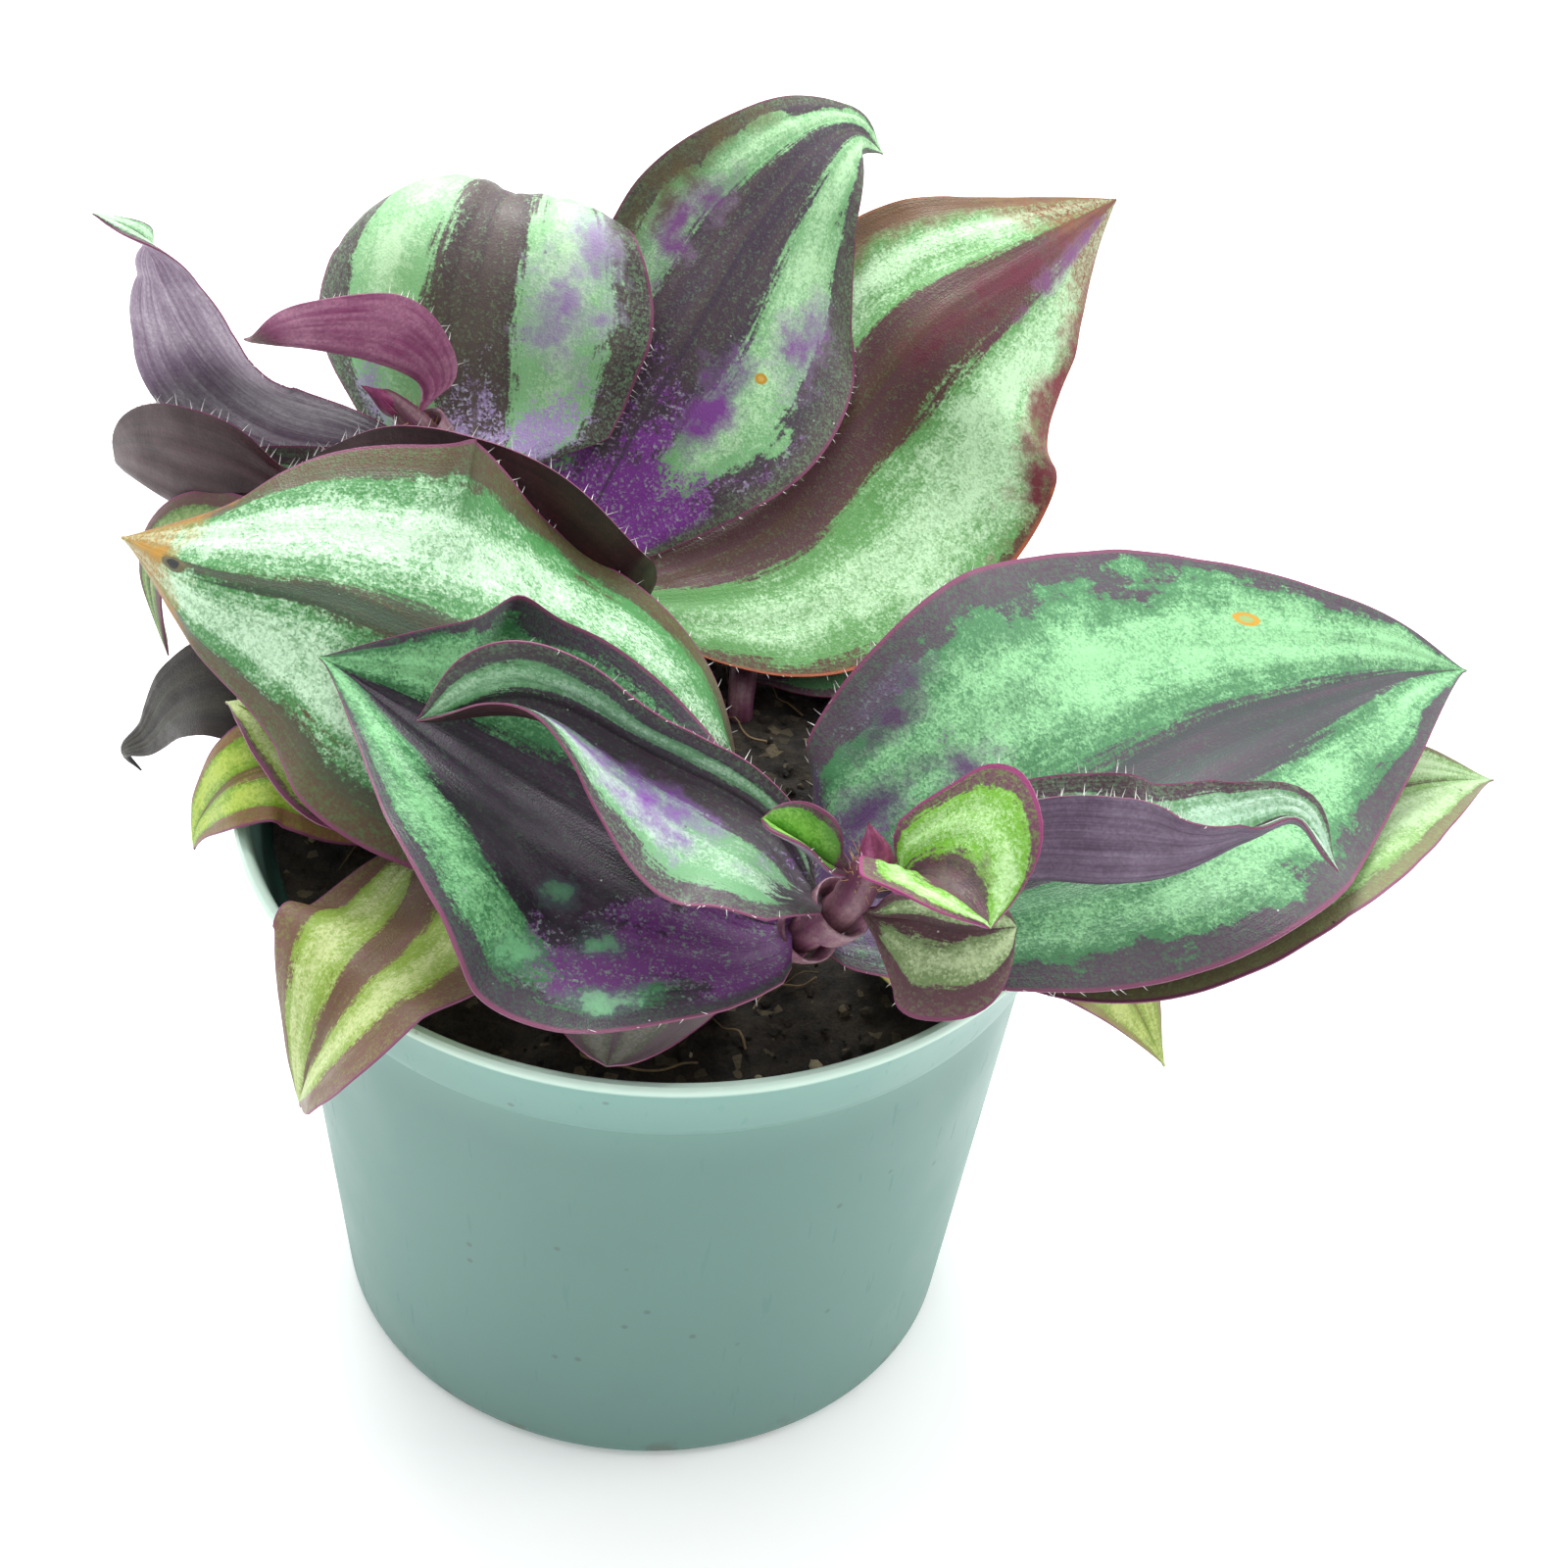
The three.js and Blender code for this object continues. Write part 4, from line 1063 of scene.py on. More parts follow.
ochre = (196, 150, 44)
ochre_middle = (150, 176, 110)
grow_leaf(
    "leaf_a_right", "stem_front", at=75.3, width=49, sleeve=3.4, seed=1,
    rib=[(21.5, -28.5, 80), (31.5, -24, 84), (42, -17, 86), (56, -5, 86), (72, 6, 84), (83, 13.5, 80)],
    face=[(0.2, -0.3, 1), (0.1, -0.6, 1), (0.1, -0.6, 1), (0.3, -0.5, 1)],
    left=[15, 12, -3, -5, 25], right=[10, 12, 20, 10, 35],
    left_outline=(0.42, 0.45, 1.15), right_outline=(0.45, 0.12, 1.15),
    top=dict(
        left=(0.05, 0.84), right=(0.36, 0.84), closes=1.05,
        silver=(152, 214, 156), green=(70, 130, 84), band=(66, 74, 74), ragged=0.7,
        edge=(84, 66, 82), violet=(96, 72, 112), blotches=0.74, fade=0.80, seed=1.3,
        marks=[
            (0.30, 0.13, 3.8, 1.6, (104, 88, 116), (88, 62, 102)),
            (0.14, 0.20, 4.0, 1.6, (100, 88, 108), (86, 66, 94)),
            (0.36, 0.25, 3.2, 1.5, (108, 96, 118), (92, 70, 104)),
            (0.22, 0.70, 1.2, 1.0, ochre, ochre_middle),
        ],
        size=(46.0, 80.0),
    ),
    under=under_purple,
)
grow_leaf(
    "leaf_a_left_wide", "stem_front", at=79.5, width=47, sleeve=2.8, seed=2,
    rib=[(10, -35, 81.5), (2.5, -32.5, 84.5), (-6, -28, 86.5), (-19.5, -22, 90), (-33.5, -16, 94)],
    face=[(0, -0.5, 1), (0, -0.6, 1), (-0.2, -0.5, 1)],
    left=[30, 14, 36, 34, 20], right=[10, 0, 10, 30, 30],
    left_outline=(0.36, 0.4, 1.3), right_outline=(0.55, 0.3, 1), right_share=0.66,
    waves=[(1, 0.7, 0.05, 6)],
    top=dict(
        left=(0.56, 0.90), right=(0.22, 0.86), opens=0.22, closes=1.0,
        silver=(140, 206, 146), green=(58, 118, 72), band=(34, 26, 38), ragged=0.35,
        violet=(106, 52, 118), edge=(66, 50, 68), blotches=0.86, fade=0.72, seed=2.7,
        marks=[
            (0.13, 0.33, 2.6, 1.0, (72, 118, 92), (112, 180, 128)),
            (0.24, 0.24, 2.4, 1.0, (72, 104, 92), (100, 166, 120)),
            (0.30, 0.36, 2.1, 1.0, (70, 96, 92), (86, 138, 106)),
            (0.10, 0.18, 2.4, 1.4, (84, 134, 108), (134, 200, 150)),
        ],
        size=(44.0, 52.0),
    ),
    under=under_purple,
)
grow_leaf(
    "leaf_a_left_narrow", "stem_front", at=83.6, width=34, sleeve=3.4, seed=3,
    rib=[(10.5, -31.5, 91), (-1, -28, 94.5), (-12, -25.5, 97.5), (-23, -24.5, 94)],
    face=[(0, -0.3, 1), (0, -0.5, 1), (0, -0.7, 1)],
    left=[60, 20, 45, 75, 80], right=[20, 60, 75, 60, 60], left_share=0.9, right_share=0.45,
    left_outline=(0.38, 0.8, 1.15), right_outline=(0.75, 0.05, 1),
    top=dict(
        left=(0.24, 0.82), right=(0.34, 0.72), opens=0.10, closes=1.1,
        silver=(198, 232, 202), green=(118, 172, 124), band=(84, 78, 86),
        violet=(146, 92, 178), edge=(78, 58, 72), fade=0.3, seed=3.9,
        marks=[
            (0.30, 0.44, 5.0, 2.4, (160, 116, 188), (142, 86, 174)),
            (0.27, 0.66, 3.2, 2.4, (172, 148, 196), (156, 116, 184)),
        ],
        size=(34.0, 50.0),
    ),
    under=under_maroon,
)
grow_leaf(
    "leaf_a_left_old", "stem_front", at=68.6, width=47, sleeve=3.4, seed=4,
    rib=[(-4, -7, 85), (-22.5, -12.5, 95), (-34, -11, 98), (-46, -8, 97.5), (-56, 2, 93)],
    face=[(0, -0.4, 1), (0, -0.6, 1), (-0.3, -0.5, 1)],
    left=[0, -20, -18, -40, -60], right=[-40, -38, -14, -8, 5],
    waves=[(1, 0.42, 0.14, 4.5), (1, 0.6, 0.1, 1.5)],
    top=dict(
        left=(0.12, 0.74), right=(0.10, 0.80), closes=0.86,
        silver=(212, 248, 212), green=(74, 142, 78), band=(62, 80, 62),
        edge=(96, 74, 56), blotches=0.0, fade=0.3, seed=4.1,
        tip=(172, 124, 42), tip_from=0.87,
        marks=[
            (0.50, 0.92, 6.0, 1.2, (158, 116, 40), (180, 132, 40)),
            (0.47, 0.865, 2.0, 1.0, (98, 92, 62), (36, 38, 38)),
        ],
        size=(42.0, 82.0),
    ),
    under=under_maroon,
)
grow_leaf(
    "leaf_a_folded", "stem_front", at=87.2, width=21, seed=5,
    rib=[
        (35, -33.5, 88), (43.5, -33, 88), (50, -31.5, 88.5), (56, -29, 91), (61, -28, 93),
        (65.3, -31, 89.5),
    ],
    face=[(0, 0.6, 1), (0, 0.6, 1), (0.3, -0.5, 1)],
    left=[75, 80, 85, 45, 25], right=[75, 70, 70, 55, 40], right_share=0.9,
    left_outline=(0.45, 0.14, 1.3), right_outline=(0.45, 0.14, 1),
    top=dict(
        left=(0.2, 0.8), right=(0.2, 0.8), opens=0.2, closes=0.9,
        silver=(206, 236, 214), green=(120, 168, 124), band=(92, 66, 88),
        seed=5.2,
    ),
    under=under_dusk,
)
grow_leaf(
    "leaf_a_cup", "stem_front", at=90.8, width=25, seed=6, lead=1.1,
    rib=[(25.8, -38.2, 91.3), (27.3, -40.5, 93), (29.5, -44, 94.3), (32, -47.5, 93.8)],
    face=[(0, -0.3, 1), (0, -0.3, 1), (0.2, -0.3, 1)],
    left=[35, 50, 45, 40, 25], right=[30, 45, 35, 30, 20], right_share=0.75,
    left_outline=(0.55, 0.1, 0.8), right_outline=(0.5, 0.05, 1.15),
    top=dict(
        left=(0.24, 0.84), right=(0.26, 0.80), opens=0.06, closes=1.1,
        silver=(198, 238, 172), green=(118, 180, 56), band=(90, 74, 74),
        edge=(110, 66, 86), blotches=0.0, seed=6.4, line_width=0.03, line=(150, 60, 112),
        marks=[(0.44, 0.62, 3.0, 1.3, (112, 96, 92), (86, 72, 78))], size=(25.0, 14.0),
    ),
    under=under_lilac,
)
grow_leaf(
    "leaf_a_front", "stem_front", at=86, width=18, seed=7,
    rib=[(25, -38.5, 86), (30, -40.5, 87), (35, -39.5, 87)],
    face=[(0.1, -0.7, 0.8), (0.1, -0.7, 0.8), (0.1, -0.7, 0.8)],
    left=[40, 40, 30], right=[0, 0, 0, 0, 0], left_share=0.5,
    left_outline=(0.5, 0.14, 0.55), right_outline=(0.5, 0.14, 0.55),
    top=dict(
        left=(0.2, 0.7), right=(0.16, 0.66),
        silver=(200, 222, 170), green=(122, 148, 94), band=(84, 58, 62),
        edge=(104, 66, 78), blotches=0.1, seed=7.7, line_width=0.03,
    ),
    under=under_maroon,
)
grow_leaf(
    "leaf_a_curl", "stem_front", at=89, width=9, seed=8, fold=0.0, pleats=0.03,
    rib=[(16, -36.5, 91), (13, -36, 93), (10.5, -35.5, 94.5)],
    face=[(0, -0.3, 1), (0, -0.3, 1), (0.2, -0.3, 1)],
    left=[40, 60, 40], right=[40, 60, 40],
    left_outline=(0.5, 0.3, 0.5), right_outline=(0.5, 0.3, 0.5),
    top=dict(
        left=(0.1, 0.8), right=(0.1, 0.8), silver=(150, 206, 96),
        green=(92, 156, 52), band=(120, 70, 96), blotches=0.0, seed=8.1, line_width=0.07,
    ),
    under=under_lilac,
)
grow_leaf(
    "leaf_d_front", "stem_front", at=71.2, width=18, seed=9,
    rib=[(2.5, -22, 68.4), (-1, -33, 69.5), (-2.5, -44.5, 69.7)],
    face=[(0, -0.6, 1), (0, -0.6, 1), (0, -0.6, 1)],
    left=[10, 5, 5], right=[10, 5, 5],
    left_outline=(0.6, 0.2, 0.6), right_outline=(0.6, 0.2, 0.6),
    top=dict(
        left=(0.2, 0.7), right=(0.2, 0.7), silver=(132, 132, 120),
        green=(92, 96, 76), band=(88, 70, 78), edge=(104, 84, 92), blotches=0.2, seed=9.3,
    ),
    under=under_purple,
)

# ---- Leaves of the rear shoot --------------------------------------------------------
# The rear shoot stands upright behind the pot's middle. Its leaves arch over or lean
# back; the lowest one is cupped like a trough, and the last one curls at the top left.
grow_leaf(
    "leaf_b_arch", "stem_rear", at=87, width=40, sleeve=3.4, seed=10,
    rib=[
        (-23.5, 30.2, 92), (-23.8, 33.5, 99), (-23, 37.5, 105.5), (-22, 43, 108.7), (-21, 48.5, 107.5),
        (-20.5, 52.5, 100),
    ],
    face=[(0, -0.85, 0.5), (0, -0.85, 0.5), (0, -0.75, 0.65), (0, 0.2, 1), (0, 0.9, 0.4)],
    left=[0, 5, 20, 35, 30], right=[-5, 5, 5, 10, 0], right_share=0.93,
    left_outline=(0.38, 0.3, 0.8), right_outline=(0.4, 0.7, 0.75),
    left_bend=[-30, -50, -80, -80, -60], right_bend=[-20, -20, -30, -50],
    top=dict(
        left=(0.26, 0.80), right=(0.22, 0.78), opens=0.03, closes=1.3,
        silver=(206, 242, 200), green=(146, 202, 146), band=(98, 86, 84), ragged=0.3,
        violet=(176, 152, 204), edge=(76, 62, 68), blotches=0.62, fade=0.5, seed=10.6,
        marks=[
            (0.74, 0.42, 5.2, 2.4, (178, 168, 196), (160, 136, 182)),
            (0.83, 0.62, 4.2, 2.6, (182, 180, 200), (166, 148, 186)),
            # The two green-grey patches at the bend are painted shade, dimming the silver where the top
            # light falls most.
            (0.24, 0.80, 4.4, 1.6, (150, 192, 150), (140, 184, 142)),
            (0.77, 0.80, 4.0, 1.6, (150, 192, 156), (140, 184, 142)),
        ],
        size=(40.0, 56.0),
    ),
    under=under_purple,
)
grow_leaf(
    "leaf_b_tall", "stem_rear", at=77, width=39, sleeve=3.4, seed=11,
    rib=[
        (-11, 28.5, 80), (-6.5, 33, 89), (-1.5, 37.5, 97.5), (4, 44.5, 106), (10, 52.5, 112),
        (14.5, 59.5, 112), (18, 62, 108),
    ],
    face=[(0.2, -1, 0.5), (0.2, -1, 0.5), (0.2, -1, 0.6), (0.3, -0.6, 1)],
    left=[0, -20, -40, 5, 0], right=[15, 10, -12, -28, 10],
    left_outline=(0.45, 0.14, 1.15), right_outline=(0.45, 0.14, 1.15), left_share=0.8,
    top=dict(
        left=(0.40, 0.78), right=(0.24, 0.72), opens=0.16, closes=1.1,
        silver=(196, 240, 190), green=(128, 186, 128), band=(70, 56, 74), ragged=0.7,
        violet=(134, 60, 156), edge=(86, 72, 76), blotches=0.92, fade=0.85, seed=11.2,
        marks=[
            (0.80, 0.52, 4.2, 1.8, (152, 124, 170), (134, 74, 154)),
            (0.66, 0.36, 3.6, 2.4, (146, 112, 164), (132, 70, 152)),
            (0.24, 0.58, 4.2, 2.0, (150, 126, 158), (132, 84, 142)),
            (0.08, 0.66, 4.6, 2.4, (118, 112, 76), (108, 94, 66)),
            (0.73, 0.43, 0.65, 1.0, ochre, (214, 170, 80)),
        ],
        size=(38.0, 74.0),
    ),
    under=under_purple,
)
grow_leaf(
    "leaf_b_far", "stem_rear", at=73.3, width=46, sleeve=3.0, seed=12,
    rib=[(7, 31, 78), (16.5, 39.5, 86), (25, 45, 96.5), (35, 53.5, 100.5), (44.5, 66, 102)],
    face=[(0, -0.6, 1), (0, -0.8, 1), (0, -1, 0.8)],
    left=[0, -20, -35, -15, -10], right=[5, 0, -12, -26, -45],
    left_outline=(0.38, 0.25, 1), right_outline=(0.42, 0.1, 1),
    top=dict(
        left=(0.26, 0.82), right=(0.22, 0.97), opens=0.06, closes=1.3, ragged=0.5,
        silver=(206, 246, 200), green=(104, 164, 94), band=(92, 58, 66),
        violet=(132, 84, 130), edge=(92, 66, 52), line=(172, 92, 60),
        tip=(132, 78, 50), tip_from=0.84, blotches=0.1, fade=0.3, seed=12.4,
        marks=[
            (0.97, 0.76, 5.6, 3.0, (136, 58, 58), (120, 40, 50)),
            (0.95, 0.58, 4.6, 2.0, (120, 62, 58), (108, 44, 52)),
            (0.06, 0.74, 5.6, 3.2, (128, 110, 72), (116, 86, 62)),
            (0.52, 0.76, 5.0, 3.0, (112, 54, 66), (104, 38, 56)),
            (0.62, 0.88, 3.6, 2.4, (150, 110, 156), (128, 76, 128)),
        ],
        size=(46.0, 74.0),
    ),
    under=under_purple,
)
grow_leaf(
    "leaf_b_cupped", "stem_rear", at=68.5, width=38, sleeve=2.6, seed=13,
    rib=[
        (-13, 14.5, 74), (-20, 14.8, 78.5), (-30, 15.5, 81.5), (-41, 17.5, 82), (-52, 20, 84),
        (-62, 28.5, 83),
    ],
    face=[(0, 0, 1), (0, 0, 1), (0, 0, 1), (0, -0.2, 1)],
    left=[88, 93, 94, 97, 95], right=[84, 80, 72, 65, 60],
    waves=[(-1, 0.64, 0.09, -7.5), (-1, 0.52, 0.07, -3)],
    left_outline=(0.32, 0.42, 0.5), right_outline=(0.5, 0.05, 1.15), left_share=1.1, right_share=0.62,
    top=dict(
        left=(0.15, 0.8), right=(0.15, 0.8), silver=(180, 214, 184),
        green=(110, 158, 112), band=(74, 50, 62), seed=13.5,
    ),
    under=under_maroon,
)
grow_leaf(
    "leaf_b_back", "stem_rear", at=92, width=23, sleeve=3.4, seed=14,
    rib=[
        (-36.5, 24.8, 92.2), (-43.5, 25.5, 93.5), (-49, 25.8, 97.5), (-52.5, 26, 102.5), (-54.8, 26, 107.9),
        (-57, 26.5, 112.6), (-62.5, 28, 114.4),
    ],
    face=[(0.2, 0.9, 0.4), (0.2, 0.9, 0.4), (0.2, 0.9, 0.4), (0, -0.2, 1)],
    left=[0, -10, -20, -5, 10], right=[-15, -15, -10, 20, 0], left_share=0.75, right_share=0.92,
    top=dict(
        left=(0.15, 0.8), right=(0.15, 0.8), silver=(196, 232, 196),
        green=(116, 170, 118), band=(92, 70, 88), seed=14.8,
    ),
    under=under_lilac,
)
grow_leaf(
    "leaf_b_small", "stem_rear", at=94.5, width=16, seed=15,
    rib=[(-29, 25.5, 99), (-33.5, 24, 102), (-39.5, 22.5, 104), (-47, 25.5, 102)],
    face=[(0, 0.5, 0.8), (0, 0.5, 0.8), (0, 0, 1)],
    left=[60, 60, 50], right=[45, 45, 40],
    top=dict(
        left=(0.15, 0.8), right=(0.15, 0.8), silver=(216, 226, 176),
        green=(150, 180, 104), band=(128, 84, 100), blotches=0.1, seed=15.1, line_width=0.035,
    ),
    under=skin_finish("young_underside", (206, 140, 174), (160, 76, 126), (110, 48, 84), 18.0),
)
grow_leaf(
    "leaf_f_back_left", "stem_rear", at=82, width=22, seed=16,
    rib=[(-28, 33, 81), (-40, 42, 75), (-47, 50, 64)],
    face=[(0, -0.2, 1), (-0.1, 0.2, 1), (-0.4, 0.6, 1)],
    left=[20, 8, 0], right=[20, 8, 0],
    top=dict(blotches=0.35, seed=16.4), under=under_purple,
)

# ---- Leaves of the left shoot --------------------------------------------------------
# A short shoot hangs over the left of the rim. Its leaves are young and shaded, so they
# are yellow-green with a thin silver, and one lies in shade, painted near black as painted shade.
fresh_silver = (202, 216, 150)
fresh_green = (134, 166, 56)
olive_band = (112, 86, 60)
grow_leaf(
    "leaf_c_hanging", "stem_left", at=72, width=25, sleeve=3.4, seed=17, slot="leaf_green",
    rib=[(-23, -30, 73), (-27.5, -38, 72.5), (-31, -40.5, 65), (-33, -38.5, 55)],
    face=[(0, -0.5, 1), (-0.4, -0.8, 0.8), (-0.6, -0.9, 0.4)],
    left=[-15, -10, 25, 45, 50], right=[20, 5, -15, -15, -5],
    left_outline=(0.45, 0.08, 1.15), right_outline=(0.45, 0.08, 1.15),
    top=dict(
        left=(0.16, 0.66), right=(0.14, 0.74), opens=0.2,
        silver=fresh_silver, green=fresh_green, band=(108, 84, 56), edge=(118, 80, 74),
        blotches=0.05, seed=17.2,
    ),
    under=under_green,
)
grow_leaf(
    "leaf_c_low", "stem_left", at=68.2, width=13, seed=18, slot="leaf_green",
    rib=[(-29, -8.5, 69.6), (-38, -8, 72.3), (-43.5, -9, 71.3), (-47.5, -7, 64.5), (-49, -5, 58)],
    face=[(0, -0.5, 1), (-0.3, -0.6, 1), (-0.7, -0.7, 0.6)],
    left=[20, 5, 5], right=[20, 5, 5],
    top=dict(
        left=(0.14, 0.75), right=(0.10, 0.8), opens=0.2,
        silver=(190, 212, 92), green=(120, 164, 36), band=(104, 100, 40),
        edge=(140, 96, 72), violet=(150, 60, 70), blotches=0.1, seed=18.5, line_width=0.03,
    ),
    under=under_green,
)
grow_leaf(
    "leaf_c_slender", "stem_left", at=76, width=8, seed=19, lead=0.6, pleats=0.04, slot="leaf_green",
    rib=[(-31.5, -18.5, 77.5), (-37, -14.5, 80.5), (-41, -11, 82), (-44.5, -7, 80)],
    face=[(-0.2, -0.5, 1), (-0.2, -0.5, 1), (-0.2, -0.5, 1)],
    left=[40, 30, 10], right=[40, 30, 10],
    top=dict(
        left=(0.1, 0.8), right=(0.1, 0.8), silver=fresh_silver, green=fresh_green,
        band=olive_band, blotches=0.0, seed=19.7, line_width=0.1,
    ),
    under=under_green,
)
# This leaf lies in shade under the others: its upper side is painted near black as painted shade.
grow_leaf(
    "leaf_c_dark", "stem_left", at=66.3, width=13, seed=20, slot="leaf_dark",
    rib=[
        (-34, -4, 71), (-39, 2.5, 72.5), (-46.5, 3.5, 73.5), (-52, 5.5, 69.5), (-56, 8, 62),
        (-59, 10, 58), (-57.5, 10.5, 55),
    ],
    face=[(-0.2, -0.3, 1), (-0.5, -0.6, 0.8), (-0.8, -0.7, 0.3)],
    left=[15, 5, 5], right=[15, 5, 5],
    top=dict(
        left=(0.2, 0.6), right=(0.2, 0.6), silver=(58, 56, 44),
        green=(40, 38, 32), band=(30, 26, 24), edge=(44, 36, 32), violet=(58, 42, 46),
        line=(60, 40, 44), blotches=0.2, seed=20.3,
    ),
    under=under_maroon,
)
grow_leaf(
    "leaf_c_tip", "stem_left", at=75, width=16, seed=21, slot="leaf_green",
    rib=[
        (-31, -6, 78.5), (-40, 5, 82.5), (-48, 12, 84.5), (-53.5, 14.5, 83.5), (-56, 15, 78),
        (-54.5, 14, 68.5),
    ],
    face=[(0, -0.3, 1), (0, -0.3, 1), (-0.5, -0.4, 0.8), (-0.9, -0.45, 0.2)],
    left=[15, 5, 5], right=[15, 5, 5],
    top=dict(
        left=(0.15, 0.7), right=(0.15, 0.7), silver=(150, 176, 112),
        green=(86, 122, 62), band=(84, 70, 52), edge=(112, 70, 78), blotches=0.0, seed=21.6,
        line_width=0.035,
    ),
    under=under_green,
)

# ---- Leaves of the right shoot -------------------------------------------------------
# A short shoot right of the middle: one broad leaf under the big right one, and two
# small yellow-green ones that hang over the rim.
grow_leaf(
    "leaf_d_under", "stem_right", at=72.5, width=36, sleeve=3.4, seed=22,
    rib=[(44, -18.5, 76.9), (61, -11, 78.2), (76, -2, 76.5), (86.5, 5.5, 72)],
    face=[(0, -0.5, 1), (0, -0.6, 1), (0.2, -0.5, 1)],
    left=[0, -5, 0, 10, 30], right=[15, 20, 30, 35, 40], left_share=0.7,
    top=dict(
        left=(0.10, 0.86), right=(0.12, 0.84), opens=0.2, closes=0.9,
        silver=(196, 226, 176), green=(128, 170, 96), band=(96, 104, 76),
        edge=(124, 116, 84), blotches=0.1, seed=22.8,
    ),
    under=under_green,
)
grow_leaf(
    "leaf_d_drooping", "stem_right", at=67.3, width=13, seed=23, slot="leaf_green",
    rib=[(33, -19, 71), (39, -22.5, 72), (44, -24, 70.5), (48.5, -23, 64), (53.5, -21.5, 53)],
    face=[(0, -0.3, 1), (0.3, -0.7, 0.8), (0.5, -0.9, 0.3)],
    left=[-10, 0, 5], right=[-10, 0, 5],
    top=dict(
        left=(0.1, 0.8), right=(0.1, 0.8), silver=(200, 214, 128),
        green=(140, 164, 60), band=(126, 134, 56), edge=(142, 124, 72), blotches=0.0,
        seed=23.1, line_width=0.03,
    ),
    under=under_green,
)
grow_leaf(
    "leaf_d_short", "stem_right", at=69, width=8, seed=24, pleats=0.04, slot="leaf_green",
    rib=[(26, -27.5, 70), (27.5, -31.5, 70.5), (28.5, -34, 69.5)],
    face=[(0, -0.3, 1), (0, -0.7, 1), (0, -0.7, 1)],
    left=[10, 5, 5], right=[10, 5, 5],
    left_outline=(0.38, 0.14, 0.7), right_outline=(0.38, 0.14, 0.7),
    top=dict(
        left=(0.1, 0.8), right=(0.1, 0.8), silver=(176, 190, 96),
        green=(104, 124, 44), band=(92, 84, 48), line=(196, 186, 90), blotches=0.0,
        seed=24.2, line_width=0.12,
    ),
    under=under_green,
)

# ---- Leaves of the far shoot ---------------------------------------------------------
# The last shoot leans away over the back of the rim, behind the others. Its leaves are
# of the same kind, and only the edge of one shows from the front.
grow_leaf(
    "leaf_e_right", "stem_far", at=66.8, width=12, seed=25,
    rib=[(16, 21.5, 67.5), (26, 25.5, 69), (35, 31, 71.3), (45, 39, 71)],
    face=[(0, -0.3, 1), (0, -0.4, 1), (0, -0.4, 1)],
    left=[0, 0, 0], right=[10, 5, 5],
    top=dict(
        band=(70, 50, 66), edge=(96, 58, 80), silver=(132, 176, 132),
        blotches=0.4, seed=25.4,
    ),
    under=under_purple,
)
grow_leaf(
    "leaf_f_back", "stem_far", at=70.9, width=26, sleeve=3.4, seed=26,
    rib=[(-1, 45, 75.6), (-5, 55, 74), (-8, 64, 66)],
    face=[(0, -0.2, 1), (0, 0.1, 1), (0, 0.7, 1)],
    left=[20, 8, 0], right=[20, 8, 0],
    top=dict(blotches=0.4, seed=26.9), under=under_purple,
)
grow_leaf(
    "leaf_f_back_right", "stem_far", at=68.8, width=18, seed=27,
    rib=[(13, 30, 72), (21, 42, 73.5), (29, 53, 70.5), (34, 62, 61)],
    face=[(0, -0.2, 1), (0.1, 0.2, 1), (0.5, 0.6, 1)],
    left=[20, 8, 0], right=[20, 8, 0], left_outline=(0.38, 0.05, 1.15),
    top=dict(seed=27.5, silver=(184, 224, 168)),
    under=under_purple,
)

# ---- Buds and hairs ------------------------------------------------------------------
# The front and rear shoots end in a young leaf that is still rolled up. Soft white hairs
# stand on the margins, most of all near each leaf's foot, and golden ones round the
# shoot ends.
bud_finish = skin_finish("rolled_bud", (178, 84, 132), (126, 40, 92), (96, 26, 70), 14.0)


def rolled_bud(name, foot, tip, wide, turns):
    """A blade rolled into a slender horn from foot to tip, in millimetres."""
    foot = np.array(foot, float)
    rise = np.array(tip, float) - foot
    way = unit(rise)
    first = unit(np.cross(way, (0.0, 0.0, 1.0) if abs(way[2]) < 0.9 else (1.0, 0.0, 0.0)))
    second = np.cross(way, first)

    def place(u, v):
        turn = 2 * np.pi * turns * u + 0.8 * v
        belly = 0.8 + 0.5 * np.sin(np.pi * np.minimum(v + 0.2, 1))
        reach = wide * (0.35 + 0.65 * u) * (1 - v) ** 0.55 * belly
        out = np.cos(turn)[:, None] * first + np.sin(turn)[:, None] * second
        return (foot + rise * (v * (1 - 0.12 * u))[:, None] + out * reach[:, None]) * MM

    piece = shaped(name, 40, 14, place)
    skin = piece.modifiers.new("skin", "SOLIDIFY")
    skin.thickness = 0.16 * MM
    skin.offset = 0.0
    only(piece)
    bpy.ops.object.modifier_apply(modifier="skin")
    shade_round(piece, 60.0)
    piece.data.materials.append(bud_finish)
    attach(piece, "root")


rolled_bud("heart_bud", (21.4, -37.4, 92.2), (20.4, -38.0, 97.2), wide=1.5, turns=1.7)
rolled_bud("rear_bud", (-31.0, 24.0, 96.2), (-34.6, 23.4, 98.8), wide=1.3, turns=1.5)


def hair_model():
    """One hair a millimetre long, three-sided and tapering to a point."""
    bpy.ops.object.select_all(action="DESELECT")
    bpy.ops.mesh.primitive_cone_add(vertices=3, radius1=0.06 * MM, radius2=0.01 * MM, depth=1.0 * MM)
    piece = bpy.context.object
    for corner in piece.data.vertices:
        corner.co.z += 0.5 * MM
    return piece


hair_luck = np.random.default_rng(5)
box_low, box_high = (np.array(corner) for corner in cad_box)


def stand_hairs(places, spot, way, tall):
    """Adds one hair at spot (millimetres), where its tip stays inside the part's own box."""
    way = unit(np.asarray(way, float) + hair_luck.normal(0, 0.28, 3))
    tip = (spot + way * tall) * MM
    if np.any(tip < box_low) or np.any(tip > box_high):
        return
    turn = Vector((0, 0, 1)).rotation_difference(Vector(way)).to_matrix().to_4x4()
    places.append(Matrix.Translation(Vector(spot * MM)) @ turn @ Matrix.Diagonal((1, 1, tall, 1)))


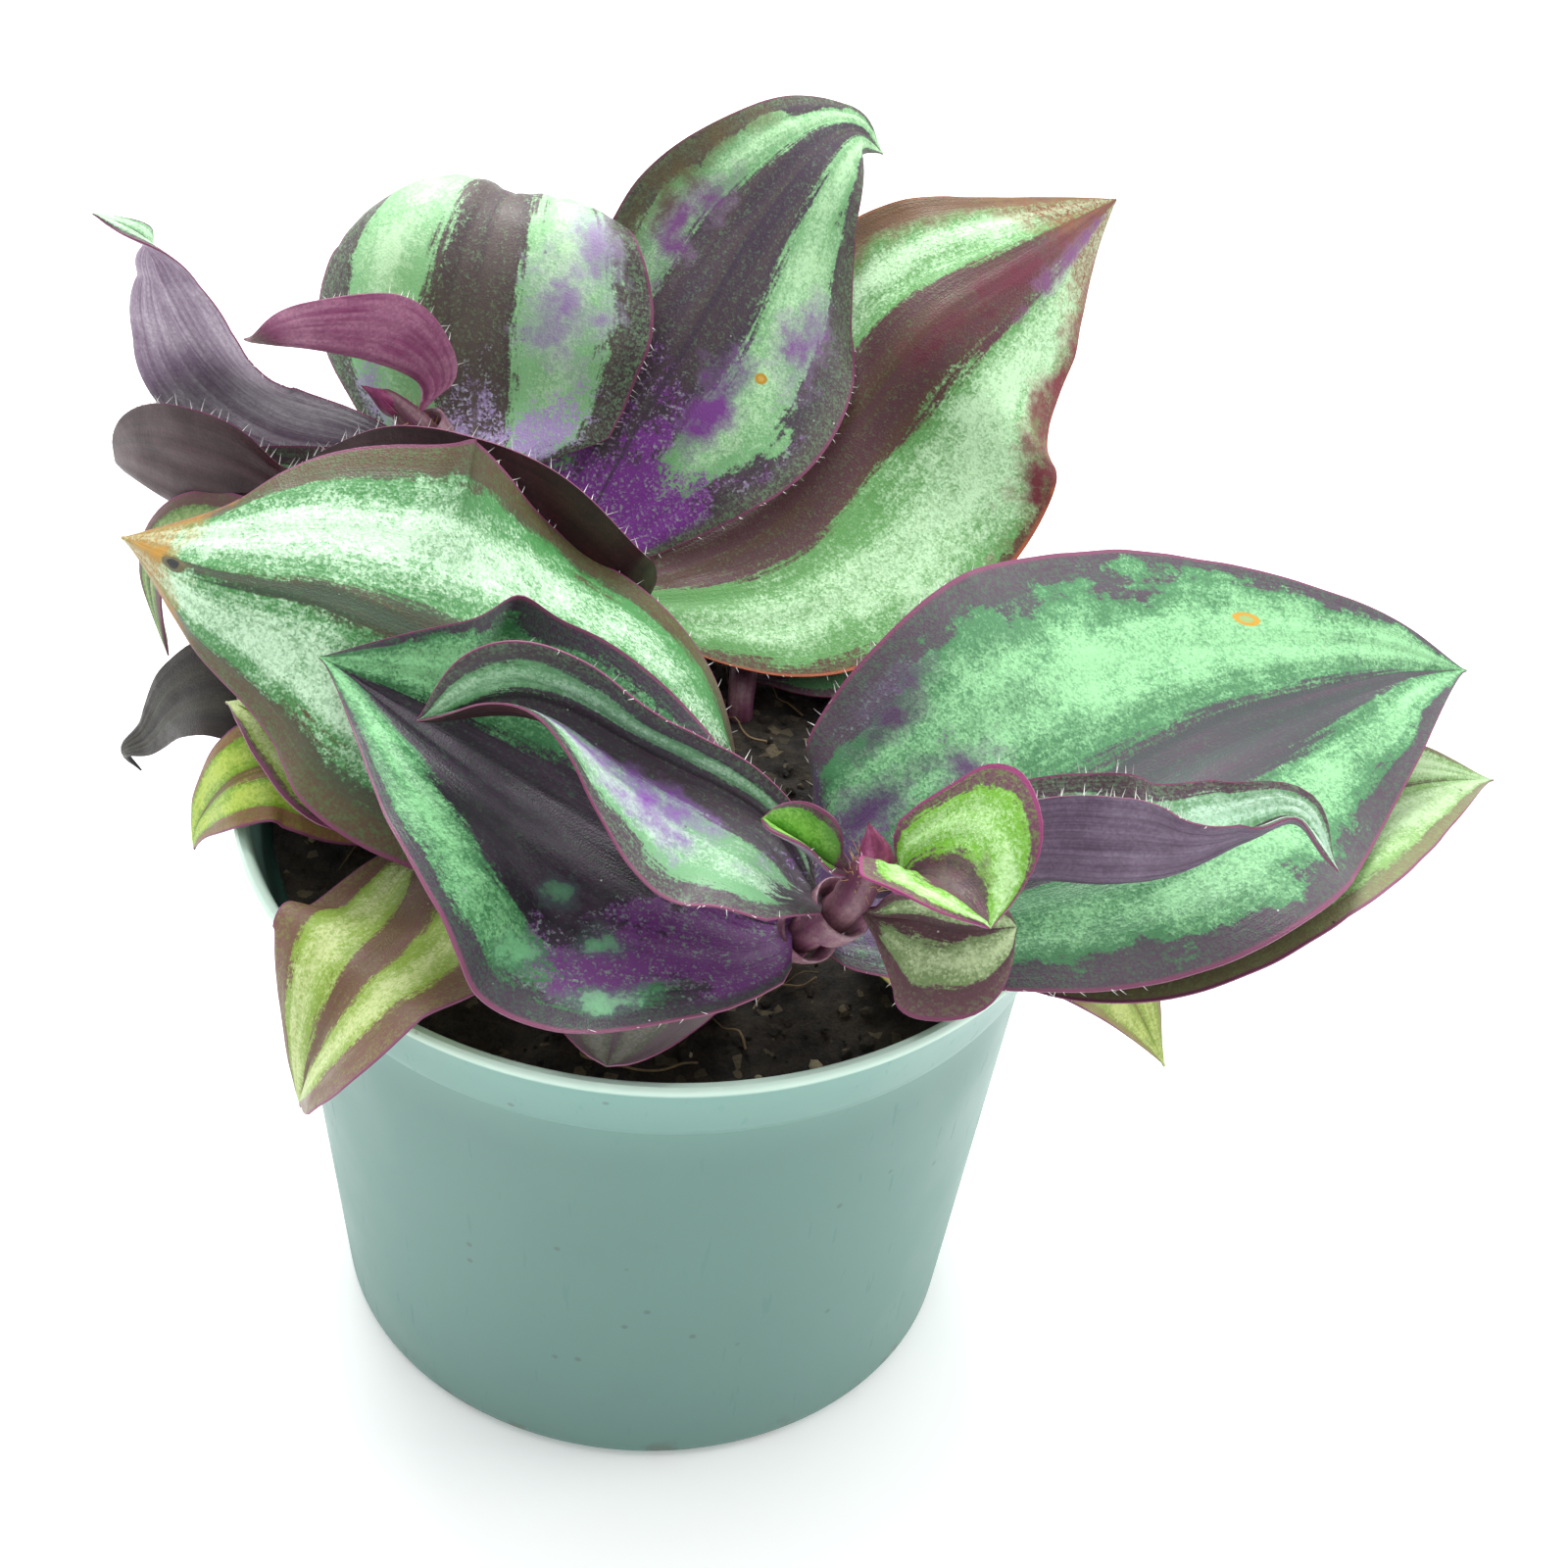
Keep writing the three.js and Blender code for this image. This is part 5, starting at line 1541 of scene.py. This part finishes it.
white_places = []
for leaf_name, margin, first_v, last_v, pitch, tall in (
    ("leaf_b_cupped", -1, 0.12, 0.92, 0.8, 1.1), ("leaf_b_cupped", 1, 0.05, 0.75, 1.0, 0.9),
    ("leaf_a_folded", 1, 0.10, 0.70, 0.8, 1.0), ("leaf_a_folded", -1, 0.10, 0.55, 0.9, 1.0),
    ("leaf_a_left_narrow", 1, 0.04, 0.75, 0.9, 1.0), ("leaf_a_left_narrow", -1, 0.02, 0.25, 1.0, 0.9),
    ("leaf_a_right", -1, 0.03, 0.40, 1.1, 0.9), ("leaf_a_right", 1, 0.03, 0.30, 1.1, 0.8),
    ("leaf_a_left_wide", 1, 0.04, 0.60, 1.1, 0.9), ("leaf_a_left_wide", -1, 0.03, 0.20, 1.2, 0.8),
    ("leaf_a_left_old", 1, 0.04, 0.45, 1.3, 0.8), ("leaf_a_left_old", -1, 0.04, 0.30, 1.3, 0.8),
    ("leaf_b_arch", -1, 0.02, 0.45, 1.2, 0.7), ("leaf_b_arch", 1, 0.02, 0.45, 1.2, 0.7),
    ("leaf_b_tall", -1, 0.03, 0.35, 1.3, 0.7), ("leaf_b_tall", 1, 0.03, 0.60, 1.3, 0.6),
    ("leaf_b_far", -1, 0.03, 0.30, 1.4, 0.7), ("leaf_b_far", 1, 0.03, 0.25, 1.4, 0.7),
    ("leaf_b_back", 1, 0.03, 0.55, 1.0, 0.9), ("leaf_b_back", -1, 0.03, 0.55, 1.0, 0.9),
    ("leaf_b_small", 1, 0.05, 0.60, 0.9, 0.8), ("leaf_b_small", -1, 0.05, 0.60, 0.9, 0.8),
    ("leaf_a_cup", -1, 0.05, 0.50, 1.0, 0.7), ("leaf_a_cup", 1, 0.05, 0.40, 1.0, 0.7),
    ("leaf_a_curl", -1, 0.05, 0.60, 0.8, 0.6), ("leaf_a_front", 1, 0.10, 0.40, 1.2, 0.6),
    ("leaf_c_hanging", -1, 0.05, 0.35, 1.3, 0.7), ("leaf_c_tip", 1, 0.05, 0.35, 1.3, 0.7),
    ("leaf_d_under", 1, 0.05, 0.30, 1.4, 0.7), ("leaf_f_back", 1, 0.05, 0.30, 1.4, 0.7),
):
    sheet, facing, length = leaf_edges[leaf_name]
    rows = sheet.shape[0] - 1
    column, inner = (0, 1) if margin < 0 else (-1, -2)
    steps = int(length * (last_v - first_v) / pitch)
    for count in range(steps):
        row = int(rows * (first_v + (last_v - first_v) * (count + hair_luck.random()) / steps))
        outwards = unit(sheet[row, column] - sheet[row, inner])
        spot = sheet[row, column] - outwards * 0.1
        lean = outwards * 0.75 + facing[row, column] * hair_luck.uniform(-0.2, 1.0)
        stand_hairs(white_places, spot, lean, tall * hair_luck.uniform(0.8, 1.4))
white_hairs = scattered("white_hairs", hair_model(), white_places)
white_hairs.data.materials.append(
    cloudy_finish("white_hair", (222, 220, 216), (246, 246, 242), scale=700.0, dullness=0.45)
)
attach(white_hairs, "root")

tuft_places = []
for stem_name, low, high, count in (
    ("stem_rear", 90.0, 97.0, 90), ("stem_front", 88.5, 92.0, 60), ("stem_left", 75.0, 78.0, 30),
):
    for _ in range(count):
        centre, stem_way = leaf_foot(stem_name, hair_luck.uniform(low, high))
        side_way = unit(np.cross(stem_way, hair_luck.normal(0, 1, 3)))
        spot = centre + side_way * stems[stem_name]["radius"] * 0.85
        stand_hairs(tuft_places, spot, side_way + stem_way * 0.8, hair_luck.uniform(0.9, 2.2))
golden_hairs = scattered("golden_hairs", hair_model(), tuft_places)
golden_hairs.data.materials.append(
    cloudy_finish("golden_hair", (168, 118, 62), (222, 190, 132), scale=700.0, dullness=0.45)
)
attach(golden_hairs, "root")
